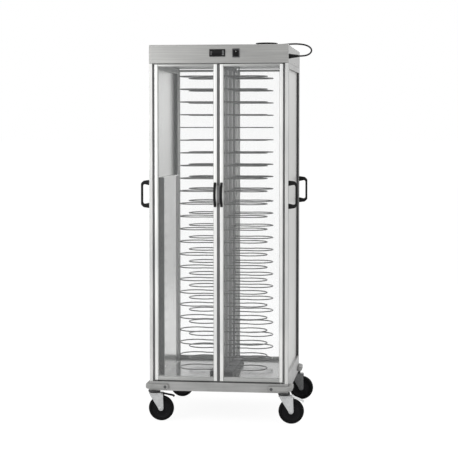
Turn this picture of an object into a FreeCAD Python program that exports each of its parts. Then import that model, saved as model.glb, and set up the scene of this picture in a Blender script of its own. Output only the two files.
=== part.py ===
import FreeCAD, Part
import math
import os

V = FreeCAD.Vector
ZERO = V(0, 0, 0)
X_AXIS = V(1, 0, 0)
Y_AXIS = V(0, 1, 0)
Z_AXIS = V(0, 0, 1)

# Heated plate cart, in millimetres with Z up.
# Minus Y is the front with the controls, plus X is the right side seen from the front.
# Dimensions are given from the middle of the cabinet. All four casters trail to the right, so the
# pieces are moved by SHIFT to bring the origin under the middle of the whole outline.
SHIFT = V(-17.0, 0, 0)

# Cabinet
HALF = 342.0             # outer faces of the corner posts, both ways
BASE_LOW = 152.0         # underside of the base frame, on top of the casters
BASE_TOP = 197.0
BASE_BAR = 40.0
TUBE_WALL = 2.0
FLOOR_TOP = 207.0
CEILING_LOW = 1759.0     # top of the posts
BOX_LOW = 1761.0         # lower edge of the top box
BOX_TOP = 1850.0
BOX_EDGE_R = 6.0
BOX_FOLD_IN = 4.0        # bevel inside the folded edges
BOX_SHEET = 1.5
POST_LIP = 326.0         # post faces beside the doors run from here to HALF
POST_STOP = 315.0        # faces that the doors close towards
POST_IN = 308.0          # inner faces of the posts
RAIL_LOW_TOP = 236.0     # lower and upper side rails
RAIL_HIGH_LOW = 1734.0
PANEL = (327.0, 329.0)   # side panels, set back from the posts' faces
PANEL_BITE = 5.0         # depth of the grooves that hold a panel
GASKETS = ((308.5, 326.5), (329.5, 341.0))   # strips on the posts, inside and outside a panel
GASKET = 1.0
PLAY = 0.1

# Corner bumpers
BUMPER_OUT = 363.0
BUMPER_ARM = 247.0       # the arms end this far from the middle
BUMPER_Z = (161.0, 186.0)
BUMPER_CORNER = 20.0     # bevel round the corner
BUMPER_NOSE = 7.0        # bevel above and below

# Doors, given for the front left one and mirrored to the other three
DOOR_X = (-315.0, -7.0)
DOOR_Y = (-340.0, -318.0)
DOOR_Z = (204.0, 1755.0)
HINGE_STILE = 15.0
MEETING_STILE = 16.0
DOOR_RAIL_LOW = 17.0
DOOR_RAIL_HIGH = 9.0
PANE_Y = (-331.0, -327.0)
PANE_BITE = 4.0
PIVOT = V(-307.0, -331.0, 0)
PIVOT_R = 3.0
PIVOT_BITE = 4.0         # length of a pin inside its stile
COLLAR_R = 6.0
RUN_CLEAR = 0.05         # radial clearance of a running fit
TURNED = 12              # flat sides of a turned piece or of a bore
BORE = 1 / math.cos(math.pi / TURNED)
END_CLEAR = 0.3          # end play of a door between its collars
SEAL_X = (-326.0, -316.5)
SEAL_Y = (-318.0, -315.0)
MEETING_X = (-7.0, 5.0)
MEETING_SEAL_Y = (-336.0, -322.0)
LATCH_Y = (-340.0, -322.0)
LATCH_Z = (1080.0, 1165.0)

# Door handles: bowed bars
HANDLE_X = (-22.0, -10.0)
HANDLE_Z = (1060.0, 1180.0)
HANDLE_TIP = -372.0
HANDLE_BAR = 9.0
HANDLE_FOOT = 17.0
HANDLE_EDGE = 3.0
HANDLE_STEPS = 8

# Side handles: bridges on the outer faces of the posts
BRIDGE_Z = (1052.0, 1191.0)
BRIDGE_OUT = 385.5
BRIDGE_BAR = 10.0
BRIDGE_Y = (-333.0, -317.0)
BRIDGE_ROOT = 27.0       # height of a leg at the post
BRIDGE_TIP = 17.0        # height of a leg at the bar
BRIDGE_CHAMFER = 13.0

# Plate rack
UPRIGHT = 30.0
UPRIGHT_WALL = 1.5
UPRIGHT_Y = (-219.0, -81.0, 81.0, 219.0)
CHANNEL_Y = (-234.0, 234.0)
CHANNEL_WALL = 3.0
RACK_LOW = (FLOOR_TOP, 235.0)
RACK_HIGH = (1737.0, CEILING_LOW)
RACK_LOW_HALF = 58.0
RACK_HIGH_HALF = 20.0
LEVELS = 24
LEVEL_LOW = 241.5
LEVEL_PITCH = 63.5
RING = V(-138.0, -150.0, 0)
RING_R = 82.0
RING_BENDS = 4           # straight stretches of a bow
WIRE = 6.0
RING_LEG = 69.0          # legs of a bow, to either side of its middle

# Heaters on the side walls
HEATER_IN = 289.0
HEATER_HALF = 215.0
HEATER_TOP = 1200.0
HEATER_SHEET = 1.2
SLOTS = 8
SLOT = (40.0, 12.0)
ELEMENT_X = 308.0
ELEMENT_R = 4.0
ELEMENT_BEND = 60.0
ELEMENT_TOP = 1080.0
TERMINAL_Z = (RAIL_LOW_TOP, 262.0)
TERMINAL_HALF = 90.0
PROBE = V(60.0, 0, 1700.0)
PROBE_R = 3.0

# Controls on the front of the top box
THERMO_X = (-43.5, 34.0)
THERMO_Z = (1791.0, 1827.0)
THERMO_PROUD = 4.0
THERMO_BODY = 55.0
WINDOW_X = (-37.0, 13.0)
KEYS = {"key_down": 1801.0, "key_set": 1809.0, "key_up": 1817.0}
KEY_X = 24.0
KEY_SIZE = (9.0, 6.0)
KEY_PROUD = 1.2
SWITCH_X = (69.0, 104.0)
SWITCH_Z = (1787.0, 1830.0)
SWITCH_PROUD = 5.0
SWITCH_BODY = 30.0
ROCKER_HALF = (12.5, 15.0)
ROCKER_Y = -338.0
ROCKER_TILT = 8.0
ROCKER_PIN_R = 1.5
LIP = 3.0                # the bezels overlap their cut-outs by this much

# Casters
CASTER = 322.0           # swivel axes, both ways
TRAIL = 35.0             # wheel axle beside the swivel axis
WHEEL_R = 62.5
WHEEL_HALF = 14.0
HUB_HALF = 16.0
HUB_R = 14.0
AXLE_R = 5.0
HEAD_R = 30.0
HEAD_LOW = 140.0
CROWN_R = 27.0
CROWN_Z = (129.0, 139.5)
KING_R = 6.0
KING_NUT_R = 10.0
TREAD_SIDES = 24
LEG_Y = (17.0, 20.0)
LUG = V(40.0, 0, 134.5)  # pedal hinge, from the swivel axis
PEDAL_PIN_R = 2.5
PEDAL_LENGTH = 58.0
PEDAL_SLOPE = {"left": 10.0, "right": 22.0}

# Mains cord: one length from the gland over the edge of the top box to its coil and plug
CORD_R = 4.0
CORD_SIDES = 4
GLAND = V(HALF, -310.0, 1793.0)
GLAND_R = (8.0, 12.0)
GLAND_LENGTH = (18.0, 10.0)
RELIEF_R = (10.5, 9.0, 7.5, 6.0)
RELIEF_LENGTH = 36.0
COIL = V(215.0, -110.0, 1856.3)
COIL_PITCH = 8.6
COIL_IN_R = 42.175
COIL_TURNS = 1.375       # in the lower layer, and again in the upper one
CLIMB_TURNS = 0.5
CLIMB_DIP = 1.3          # the climbing half turn runs this much nearer to the middle
CORD_POINTS = (
    (388.0, -310.0, 1793.0),
    (417.0, -310.0, 1793.0),
    (441.0, -295.5, 1803.0),
    (450.0, -271.0, 1820.0),
    (441.0, -246.0, 1838.0),
    (418.0, -225.5, 1850.5),
    (388.0, -209.5, 1856.5),
    (355.0, -195.5, 1858.5),
    (322.0, -180.5, 1857.5),
    (291.0, -169.0, 1856.3),
    (257.0, -164.0, 1856.3),
    (223.0, -164.0, 1856.3),
)
TAIL_POINTS = (
    (161.0, -102.0, 1864.9),
    (161.0, -70.0, 1864.9),
    (163.0, -34.0, 1860.5),
    (167.0, 2.0, 1856.5),
    (171.5, 36.0, 1856.5),
    (174.0, 70.0, 1860.0),
    (174.0, 100.0, 1860.0),
)
TIE_R = (36.2, 58.6)
TIE_Z = (1852.0, 1869.4)
TIE_WIDTH = 10.0
TIE_THICK = 1.2
PLUG_PLAN = ((6, 0), (9, 14), (20, 24), (20, 52), (-20, 52), (-20, 24), (-9, 14), (-6, 0))
PLUG_HEIGHT = 19.0
PLUG_EDGE = 2.5
PIN_R = 2.5
PIN_LENGTH = 19.0
PIN_SPACING = 13.0

SIDES = {"left": -1, "right": 1}
ENDS = {"front": -1, "rear": 1}


def box(x, y, z):
    """A box, each range given as a pair."""
    return Part.makeBox(x[1] - x[0], y[1] - y[0], z[1] - z[0], V(x[0], y[0], z[0]))


def around(middle, width):
    return (middle - width / 2, middle + width / 2)


def grow(pair, amount):
    return (pair[0] - amount, pair[1] + amount)


def to_side(sign, pair):
    """A range on the left or right, from its distances to the middle."""
    return tuple(sorted((sign * pair[0], sign * pair[1])))


def rod(radius, start, axis, length):
    return Part.makeCylinder(radius, length, start, axis)


def sided(radius, sides, start, axis, length):
    """A bar with flat sides inside a round rod of the same radius."""
    across = axis.cross(X_AXIS if abs(axis.x) < 0.5 else Z_AXIS)
    other = axis.cross(across)
    turn = 2 * math.pi / sides
    points = []
    for i in range(sides):
        angle = (i + 0.5) * turn
        points.append(start + across * (radius * math.cos(angle)) + other * (radius * math.sin(angle)))
    return prism(points, axis * length)


def prism(points, path):
    """A straight extrusion of the closed outline through the points."""
    return Part.Face(Part.makePolygon(list(points) + [points[0]])).extrude(path)


def join(first, *others):
    return first.fuse(list(others)).removeSplitter()


def corners(shape):
    """The front left piece and its mirror images at the other corners."""
    return [flip(shape, side, end) for end in ENDS for side in SIDES]


def flip(shape, side, end):
    if side == "right":
        shape = shape.mirror(ZERO, X_AXIS)
    if end == "rear":
        shape = shape.mirror(ZERO, Y_AXIS)
    return shape


def save(name, *shapes):
    solids = [solid.translated(SHIFT) for shape in shapes for solid in shape.Solids]
    whole = solids[0] if len(solids) == 1 else Part.makeCompound(solids)
    whole.exportStep("parts/%s.step" % name)


def tube(along, x, y, z, wall, closed=False):
    """A rectangular tube along X, Y or Z (0, 1 or 2), its ends open or closed."""
    inside = []
    for axis, pair in enumerate((x, y, z)):
        open_end = axis == along and not closed
        inside.append(grow(pair, 1 if open_end else -wall))
    return box(x, y, z).cut(box(*inside))


# Base and shell

def base_frame():
    inner = HALF - BASE_BAR
    height = (BASE_LOW, BASE_TOP)
    bars = []
    for sign in (-1, 1):
        edge = to_side(sign, (inner, HALF))
        bars.append(tube(0, (-HALF, HALF), edge, height, TUBE_WALL, closed=True))
        bars.append(tube(1, edge, (-inner, inner), height, TUBE_WALL))
    save("base_frame", *bars)


def corner_bumpers():
    """Rubber noses wrapped round the corners of the base frame."""
    low, high = BUMPER_Z
    bend = BUMPER_OUT - BUMPER_CORNER
    plan = ((BUMPER_ARM, HALF), (BUMPER_ARM, BUMPER_OUT), (bend, BUMPER_OUT), (BUMPER_OUT, bend),
            (BUMPER_OUT, BUMPER_ARM), (HALF, BUMPER_ARM), (HALF, HALF))
    blank = prism([V(-x, -y, low) for x, y in plan], V(0, 0, high - low))
    nose = []
    for edge in blank.Edges:
        point = edge.CenterOfMass
        outside = min(point.x, point.y) < -HALF - 1 and max(point.x, point.y) < -BUMPER_ARM - 1
        if outside and edge.BoundBox.ZLength < 0.1:
            nose.append(edge)
    save("corner_bumpers", *corners(blank.makeChamfer(BUMPER_NOSE, nose)))


def floor_pan():
    """A tray turned over: its folded edges stand on the base frame."""
    x = (-POST_IN, POST_IN)
    y = (-POST_STOP + 1, POST_STOP - 1)
    under = box(grow(x, -TUBE_WALL), grow(y, -TUBE_WALL), (BASE_TOP - 1, FLOOR_TOP - TUBE_WALL))
    save("floor_pan", box(x, y, (BASE_TOP, FLOOR_TOP)).cut(under))


def panel_groove(sign):
    reach = POST_IN + PANEL_BITE
    return box(to_side(sign, grow(PANEL, PLAY)), (-reach, reach),
               (RAIL_LOW_TOP - PANEL_BITE, RAIL_HIGH_LOW + PANEL_BITE))


def side_walls():
    """Posts and rails with a groove round each side panel."""
    plan = ((HALF, HALF), (POST_LIP, HALF), (POST_LIP, POST_STOP), (POST_IN, POST_STOP),
            (POST_IN, POST_IN), (HALF, POST_IN))
    post = prism([V(-x, -y, BASE_TOP) for x, y in plan], V(0, 0, CEILING_LOW - BASE_TOP))
    save("corner_posts", *corners(post.cut(panel_groove(-1))))
    depth = (-POST_IN, POST_IN)
    rails = []
    panels = []
    for sign in (-1, 1):
        width = to_side(sign, (POST_IN, HALF))
        for height in ((BASE_TOP, RAIL_LOW_TOP), (RAIL_HIGH_LOW, CEILING_LOW)):
            rails.append(box(width, depth, height).cut(panel_groove(sign)))
        edge = PANEL_BITE - PLAY
        height = grow((RAIL_LOW_TOP, RAIL_HIGH_LOW), edge)
        panels.append(box(to_side(sign, PANEL), grow(depth, edge), height))
    save("side_rails", *rails)
    save("side_panels", *panels)
    strips = []
    for reach in GASKETS:
        strip = box(to_side(-1, reach), (-POST_IN, GASKET - POST_IN), (RAIL_LOW_TOP, RAIL_HIGH_LOW))
        strips += corners(strip)
    save("panel_gaskets", *strips)


def edges_above(shape, height):
    return [edge for edge in shape.Edges if edge.BoundBox.ZMin > height]


def folded_block():
    """The top box's outer form, with its folded edges."""
    block = box((-HALF, HALF), (-HALF, HALF), (BOX_LOW, BOX_TOP))
    return block.makeFillet(BOX_EDGE_R, edges_above(block, BOX_TOP - 1))


def top_box():
    edge = HALF - 1
    save("ceiling_panel", box((-edge, edge), (-edge, edge), (CEILING_LOW, BOX_LOW)))
    wall = (-HALF - 5, -HALF + 5)
    inside = HALF - BOX_SHEET
    hollow = box((-inside, inside), (-inside, inside), (BOX_LOW - 1, BOX_TOP - BOX_SHEET))
    cover = folded_block().cut(hollow.makeChamfer(BOX_FOLD_IN, edges_above(hollow, BOX_TOP - 5)))
    cover = cover.cut(box(grow(THERMO_X, -LIP), wall, grow(THERMO_Z, -LIP)))
    cover = cover.cut(box(grow(SWITCH_X, -LIP), wall, grow(SWITCH_Z, -LIP)))
    save("top_cover", cover.cut(sided(GLAND_R[0] + PLAY, 8, GLAND - X_AXIS * 5, X_AXIS, 10)))


# Doors

def door_bars():
    """Four grooved bars, and the pane that they hold."""
    stile = (DOOR_X[0], DOOR_X[0] + HINGE_STILE)
    meeting = (DOOR_X[1] - MEETING_STILE, DOOR_X[1])
    between = (stile[1], meeting[0])
    rail_low = (DOOR_Z[0], DOOR_Z[0] + DOOR_RAIL_LOW)
    rail_high = (DOOR_Z[1] - DOOR_RAIL_HIGH, DOOR_Z[1])
    pane = (grow(between, PANE_BITE), PANE_Y, grow((rail_low[1], rail_high[0]), PANE_BITE))
    groove = box(*[grow(pair, PLAY) for pair in pane])
    depth = PIVOT_BITE + 1
    bores = [sided((PIVOT_R + RUN_CLEAR) * BORE, TURNED, PIVOT + Z_AXIS * z, Z_AXIS, depth)
             for z in (DOOR_Z[0], DOOR_Z[1] - depth)]
    bars = [
        box(stile, DOOR_Y, DOOR_Z).cut(groove).cut(bores[0]).cut(bores[1]),
        box(meeting, DOOR_Y, DOOR_Z).cut(groove),
        box(between, DOOR_Y, rail_low).cut(groove),
        box(between, DOOR_Y, rail_high).cut(groove),
    ]
    return bars, box(*pane)


def bow_points(y, tip, low, high):
    """Points on the arc from one height to another that bulges to the tip."""
    half = (high - low) / 2
    rise = y - tip
    radius = (half ** 2 + rise ** 2) / (2 * rise)
    reach = math.asin(half / radius)
    points = []
    for i in range(HANDLE_STEPS + 1):
        angle = reach * (2 * i / HANDLE_STEPS - 1)
        out = tip + radius * (1 - math.cos(angle))
        points.append(V(HANDLE_X[0], out, low + half + radius * math.sin(angle)))
    return points


def door_handle():
    """A bowed bar with a flat foot at each end."""
    low, high = HANDLE_Z
    face = DOOR_Y[0]
    outer = bow_points(face - HANDLE_EDGE, HANDLE_TIP, low, high)
    inner = bow_points(face, HANDLE_TIP + HANDLE_BAR, low + HANDLE_FOOT, high - HANDLE_FOOT)
    feet = [V(HANDLE_X[0], face, high), V(HANDLE_X[0], face, low)]
    outline = outer + feet[:1] + inner[::-1] + feet[1:]
    return prism(outline, X_AXIS * (HANDLE_X[1] - HANDLE_X[0]))


def doors():
    bars, pane = door_bars()
    handle = door_handle()
    seals = [box(MEETING_X, MEETING_SEAL_Y, (DOOR_Z[0], LATCH_Z[0])),
             box(MEETING_X, MEETING_SEAL_Y, (LATCH_Z[1], DOOR_Z[1]))]
    latch = box(MEETING_X, LATCH_Y, LATCH_Z)
    for end in ENDS:
        for side in SIDES:
            place = "%s_%s" % (end, side)
            save("door_frame_" + place, *[flip(bar, side, end) for bar in bars])
            save("door_pane_" + place, flip(pane, side, end))
            save("door_handle_" + place, flip(handle, side, end))
        save("meeting_seal_" + end, *[flip(seal, "left", end) for seal in seals])
        save("door_latch_" + end, flip(latch, "left", end))
    save("door_seals", *corners(box(SEAL_X, SEAL_Y, DOOR_Z)))


def hinge_pins():
    """A collar with a round pin below each hinge stile, and a flat-sided one above it."""
    foot = PIVOT + Z_AXIS * BASE_TOP
    gap = DOOR_Z[0] - BASE_TOP
    lower = join(sided(COLLAR_R, 6, foot, Z_AXIS, gap - END_CLEAR),
                 rod(PIVOT_R, foot, Z_AXIS, gap + PIVOT_BITE))
    foot = PIVOT + Z_AXIS * CEILING_LOW
    gap = CEILING_LOW - DOOR_Z[1]
    upper = join(sided(COLLAR_R, 6, foot, -Z_AXIS, gap - END_CLEAR),
                 sided(PIVOT_R, TURNED, foot, -Z_AXIS, gap + PIVOT_BITE))
    save("hinge_pins", *corners(lower), *corners(upper))


def side_handles():
    bar = BRIDGE_OUT - BRIDGE_BAR
    shoulder = BRIDGE_OUT - BRIDGE_CHAMFER
    low, high = BRIDGE_Z
    middle = (low + high) / 2
    half = ((HALF, high), (shoulder, high - 4), (BRIDGE_OUT, high - 4 - BRIDGE_CHAMFER))
    inner = ((bar, high - BRIDGE_TIP - 10), (bar - 6, high - BRIDGE_TIP - 4), (HALF, high - BRIDGE_ROOT))
    upper = list(half)
    lower = [(x, 2 * middle - z) for x, z in reversed(half)]
    inside_low = [(x, 2 * middle - z) for x, z in reversed(inner)]
    outline = upper + lower + inside_low + list(inner)
    points = [V(-x, BRIDGE_Y[0], z) for x, z in outline]
    save("side_handles", *corners(prism(points, V(0, BRIDGE_Y[1] - BRIDGE_Y[0], 0))))


# Plate rack

def rack():
    half = UPRIGHT / 2
    uprights = [tube(2, (-half, half), around(y, UPRIGHT), (RACK_LOW[1], RACK_HIGH[0]), UPRIGHT_WALL)
                for y in UPRIGHT_Y]
    save("rack_uprights", *uprights)
    low = tube(1, (-RACK_LOW_HALF, RACK_LOW_HALF), CHANNEL_Y, RACK_LOW, CHANNEL_WALL)
    high = tube(1, (-RACK_HIGH_HALF, RACK_HIGH_HALF), CHANNEL_Y, RACK_HIGH, CHANNEL_WALL)
    save("rack_channels", low, high)


def plate_ring():
    """A plate's support, a wire bent out from the uprights and round, drawn on height 0."""
    half = math.pi - math.asin(RING_LEG / RING_R)
    lines = []
    for offset in (WIRE / 2, -WIRE / 2):
        points = [V(-UPRIGHT / 2, RING.y + RING_LEG + offset, -WIRE / 2)]
        scale = 1 + offset / (RING_R * math.cos(half / RING_BENDS))
        for i in range(RING_BENDS + 1):
            angle = half * (1 - 2 * i / RING_BENDS)
            reach = RING_R * scale
            points.append(RING + V(-reach * math.cos(angle), reach * math.sin(angle), -WIRE / 2))
        points.append(V(-UPRIGHT / 2, RING.y - RING_LEG - offset, -WIRE / 2))
        points[1].y = points[0].y
        points[-2].y = points[-1].y
        lines.append(points)
    return prism(lines[0] + lines[1][::-1], V(0, 0, WIRE))


def plate_rings():
    ring = plate_ring()
    heights = [LEVEL_LOW + i * LEVEL_PITCH for i in range(LEVELS)]
    for side in SIDES:
        pair = [flip(ring, side, end) for end in ENDS]
        save("plate_rings_" + side, *[one.translated(Z_AXIS * z) for one in pair for z in heights])


# Heating

def heater_cover(sign):
    """A sheet cover on the side wall, with slots in its top and a notch over the lower rail."""
    y = (-HEATER_HALF, HEATER_HALF)
    z = (FLOOR_TOP, HEATER_TOP)
    hollow = box(to_side(sign, (HEATER_IN + HEATER_SHEET, PANEL[0] + 1)), grow(y, -HEATER_SHEET),
                 (FLOOR_TOP - 1, HEATER_TOP - HEATER_SHEET))
    notch = box(to_side(sign, (POST_IN, HALF)), grow(y, 1), (FLOOR_TOP - 1, RAIL_LOW_TOP))
    cover = box(to_side(sign, (HEATER_IN, PANEL[0])), y, z).cut(hollow).cut(notch)
    pitch = 2 * HEATER_HALF / SLOTS
    middle = sign * (HEATER_IN + PANEL[0]) / 2
    for i in range(SLOTS):
        slot_y = around(-HEATER_HALF + (i + 0.5) * pitch, SLOT[0])
        cover = cover.cut(box(around(middle, SLOT[1]), slot_y, (HEATER_TOP - 5, HEATER_TOP + 5)))
    return cover


def heater_element(sign):
    """A square hairpin standing in its terminal block."""
    foot = TERMINAL_Z[1]
    across = (ELEMENT_BEND - 2 * ELEMENT_R, ELEMENT_BEND)
    outline = []
    for reach, height in ((across[1], ELEMENT_TOP), (across[0], ELEMENT_TOP - 2 * ELEMENT_R)):
        arch = [(-reach, foot), (-reach, height), (reach, height), (reach, foot)]
        outline += arch if not outline else arch[::-1]
    x = sign * ELEMENT_X - ELEMENT_R
    hairpin = prism([V(x, y, z) for y, z in outline], X_AXIS * 2 * ELEMENT_R)
    depth = to_side(sign, (HEATER_IN + 2 * HEATER_SHEET, PANEL[0]))
    return [hairpin, box(depth, (-TERMINAL_HALF, TERMINAL_HALF), TERMINAL_Z)]


def heating():
    save("heater_covers", heater_cover(-1), heater_cover(1))
    save("heater_elements", *heater_element(-1), *heater_element(1))
    save("temperature_probe", sided(PROBE_R, 8, PROBE, Z_AXIS, CEILING_LOW - PROBE.z))


# Controls

def front_unit(x, z, proud, body, edge):
    """A bezel in front of the box with a body through its cut-out."""
    bezel = box(x, (-HALF - proud, -HALF), z)
    bezel = bezel.makeChamfer(edge, [e for e in bezel.Edges if e.BoundBox.YMax < -HALF - 0.1])
    inset = -LIP - PLAY
    return join(bezel, box(grow(x, inset), (-HALF, -HALF + body), grow(z, inset)))


def thermostat():
    front = -HALF - THERMO_PROUD
    unit = front_unit(THERMO_X, THERMO_Z, THERMO_PROUD, THERMO_BODY, 1.5)
    unit = unit.cut(box(WINDOW_X, (front - 1, front + 1), grow(THERMO_Z, -7)))
    for name, z in KEYS.items():
        x_range = around(KEY_X, KEY_SIZE[0])
        z_range = around(z, KEY_SIZE[1])
        unit = unit.cut(box(grow(x_range, 0.3), (front - 1, -HALF + 4), grow(z_range, 0.3)))
        key = box(x_range, (front - KEY_PROUD, -HALF + 2), z_range)
        save(name, key.makeChamfer(0.6, [e for e in key.Edges if e.BoundBox.YMax < front]))
    save("thermostat", unit)


def switch():
    """A rocker that tilts top and bottom in its frame."""
    mid_x = sum(SWITCH_X) / 2
    mid_z = sum(SWITCH_Z) / 2
    frame = front_unit(SWITCH_X, SWITCH_Z, SWITCH_PROUD, SWITCH_BODY, 2.0)
    pocket = box(around(mid_x, 2 * ROCKER_HALF[0] + 1), (-HALF - 10, -HALF + 16),
                 around(mid_z, 2 * ROCKER_HALF[1] + 4))
    frame = frame.cut(pocket)
    half = ROCKER_HALF[1]
    outline = ((-half, -9), (0, -10.5), (half, -9), (half, 2), (5, 8), (-5, 8), (-half, 2))
    left = mid_x - ROCKER_HALF[0]
    points = [V(left, ROCKER_Y + y, mid_z + z) for z, y in outline]
    rocker = prism(points, X_AXIS * 2 * ROCKER_HALF[0])
    wide = ROCKER_HALF[0] + 2
    rocker = join(rocker, rod(ROCKER_PIN_R, V(mid_x - wide, ROCKER_Y, mid_z), X_AXIS, 2 * wide))
    rocker.rotate(V(mid_x, ROCKER_Y, mid_z), X_AXIS, ROCKER_TILT)
    snap = 2 * (ROCKER_PIN_R + RUN_CLEAR)
    slot = box(around(mid_x, 2 * (wide + PLAY)), around(ROCKER_Y, snap), around(mid_z, snap))
    save("switch_frame", frame.cut(slot))
    save("switch_rocker", rocker)


# Casters, drawn with the swivel axis on the origin

def caster_head():
    king = CROWN_Z[0] - 4
    plate = sided(HEAD_R, TURNED, V(0, 0, HEAD_LOW), Z_AXIS, BASE_LOW - HEAD_LOW)
    return join(plate, rod(KING_R, V(0, 0, king), Z_AXIS, HEAD_LOW - king),
                sided(KING_NUT_R, 6, V(0, 0, king), Z_AXIS, 3.6))


def fork_leg(y):
    """One side plate, from the crown to the axle, with the lug of the brake pedal."""
    toe = 13.0
    plan = ((-19, CROWN_Z[0] - 3), (-17, CROWN_Z[1]), (44, CROWN_Z[1]), (46, CROWN_Z[0] + 3),
            (TRAIL + toe, WHEEL_R), (TRAIL + toe * 0.6, WHEEL_R - toe * 0.8), (TRAIL, WHEEL_R - toe),
            (TRAIL - toe * 0.6, WHEEL_R - toe * 0.8), (TRAIL - toe, WHEEL_R))
    return prism([V(x, y, z) for x, z in plan], V(0, LEG_Y[1] - LEG_Y[0], 0))


def fork(braked):
    """Crown and legs with the riveted axle, and the holes of the brake pedal's pin."""
    crown = sided(CROWN_R, TURNED, V(0, 0, CROWN_Z[0]), Z_AXIS, CROWN_Z[1] - CROWN_Z[0])
    side = LEG_Y[1]
    hub = V(TRAIL, 0, WHEEL_R)
    axle = sided(AXLE_R, TURNED, hub - Y_AXIS * side, Y_AXIS, 2 * side)
    rivets = [sided(9, 6, hub + Y_AXIS * y, Y_AXIS, 4) for y in (side, -side - 4)]
    body = join(crown, fork_leg(LEG_Y[0]), fork_leg(-side), axle, *rivets)
    body = body.cut(sided((KING_R + RUN_CLEAR) * BORE, TURNED, V(0, 0, 100), Z_AXIS, 60))
    if braked:
        hole = around(LUG.x, 2 * (PEDAL_PIN_R + RUN_CLEAR))
        body = body.cut(box(hole, (-30, 30), around(LUG.z, hole[1] - hole[0])))
    return body


def wheel():
    """A moulded wheel: bevelled tread, flat sides and a hub that runs on the axle."""
    hub = V(TRAIL, 0, WHEEL_R)
    outer = WHEEL_R / math.cos(math.pi / TREAD_SIDES)
    tread = sided(outer, TREAD_SIDES, hub - Y_AXIS * WHEEL_HALF, Y_AXIS, 2 * WHEEL_HALF)
    tread = tread.makeChamfer(4.0, [e for e in tread.Edges if e.BoundBox.YLength < 0.1])
    body = join(tread, sided(HUB_R, 8, hub - Y_AXIS * HUB_HALF, Y_AXIS, 2 * HUB_HALF))
    return body.cut(rod(AXLE_R + RUN_CLEAR, hub - Y_AXIS * 30, Y_AXIS, 60))


def pedal(slope):
    """Brake pedal: a plate with a turned-down toe on a cross pin, sloping down at rest."""
    half = LEG_Y[0] - 0.6
    x = LUG.x
    z = LUG.z
    end = x + PEDAL_LENGTH
    outline = ((x - 4, z - 3), (x - 4, z + 3), (end, z + 3), (end + 4, z - 4), (end + 1, z - 4), (end - 2, z),
               (x + 5, z))
    plate = prism([V(a, -half, b) for a, b in outline], Y_AXIS * 2 * half)
    lever = join(plate, rod(PEDAL_PIN_R, LUG - Y_AXIS * LEG_Y[1], Y_AXIS, 2 * LEG_Y[1]))
    lever.rotate(LUG, Y_AXIS, slope)
    return lever


def casters():
    heads = []
    for end, sy in ENDS.items():
        for side, sx in SIDES.items():
            place = "%s_%s" % (end, side)
            axis = V(sx * CASTER, sy * CASTER, 0)
            heads.append(caster_head().translated(axis))
            save("fork_" + place, fork(end == "front").translated(axis))
            save("wheel_" + place, wheel().translated(axis))
            if end == "front":
                save("brake_pedal_" + side, pedal(PEDAL_SLOPE[side]).translated(axis))
    save("caster_heads", *heads)


# Mains cord

def pipe(path, radius):
    """A flat-sided tube along a wire, square to its first edge."""
    first = path.Edges[0]
    start = first.valueAt(first.FirstParameter)
    section = sided(radius, CORD_SIDES, start, first.tangentAt(first.FirstParameter), 1).Faces[-2].OuterWire
    shell = path.makePipeShell([section], True, False)
    return shell if shell.ShapeType == "Solid" else Part.Solid(shell)


def cord_tube(name, path):
    shape = pipe(path, CORD_R)
    area = CORD_SIDES / 2 * CORD_R ** 2 * math.sin(2 * math.pi / CORD_SIDES)
    share = shape.Volume / (area * path.Length)
    print(name, "length %.0f, volume over section and length %.4f" % (path.Length, share))
    save(name, shape)


def rounded_path(points):
    """Straight runs joined by tangent arcs, as large as the runs allow."""
    points = [V(*point) for point in points]
    edges = []
    radii = []
    start = points[0]
    for before, corner, after in zip(points, points[1:], points[2:]):
        back = (before - corner).normalize()
        ahead = (after - corner).normalize()
        half_turn = (math.pi - back.getAngle(ahead)) / 2
        setback = 0.45 * min((before - corner).Length, (after - corner).Length)
        radius = setback / math.tan(half_turn)
        crest = corner + (back + ahead).normalize() * (radius / math.cos(half_turn) - radius)
        edges.append(Part.makeLine(start, corner + back * setback))
        start = corner + ahead * setback
        edges.append(Part.Arc(corner + back * setback, crest, start).toShape())
        radii.append(round(radius))
    edges.append(Part.makeLine(start, points[-1]))
    print("arc radii", radii)
    return Part.Wire(edges)


def coil_point(turn):
    """The cord's middle after so many clockwise turns from the front of the coil."""
    climbed = COIL_TURNS + CLIMB_TURNS
    share = min(max((turn - COIL_TURNS) / CLIMB_TURNS, 0), 1)
    radius = COIL_IN_R + COIL_PITCH * max(COIL_TURNS - turn, turn - climbed, 0)
    radius -= CLIMB_DIP * math.sin(math.pi * share)
    angle = -math.pi / 2 - 2 * math.pi * turn
    return COIL + V(radius * math.cos(angle), radius * math.sin(angle), COIL_PITCH * share)


def arc_from(start, way, end):
    """The arc that leaves a point in the given direction and ends at another point."""
    chord = end - start
    across = (chord - way * chord.dot(way)).normalize()
    centre = start + across * (chord.dot(chord) / (2 * chord.dot(across)))
    out = ((start + end) * 0.5 - centre).normalize()
    return Part.Arc(start, centre + out * (start - centre).Length, end).toShape()


def biarc(start, way_in, end, way_out):
    """Two arcs, tangent to each other and to the directions at both ends."""
    gap = end - start
    across = gap.dot(way_in + way_out)
    square = 2 * (1 - way_in.dot(way_out))
    reach = (math.sqrt(across ** 2 + square * gap.dot(gap)) - across) / square
    joint = (start + way_in * reach + end - way_out * reach) * 0.5
    way = (end - way_out * reach - joint).normalize()
    return [arc_from(start, way_in, joint), arc_from(joint, way, end)]


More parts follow.
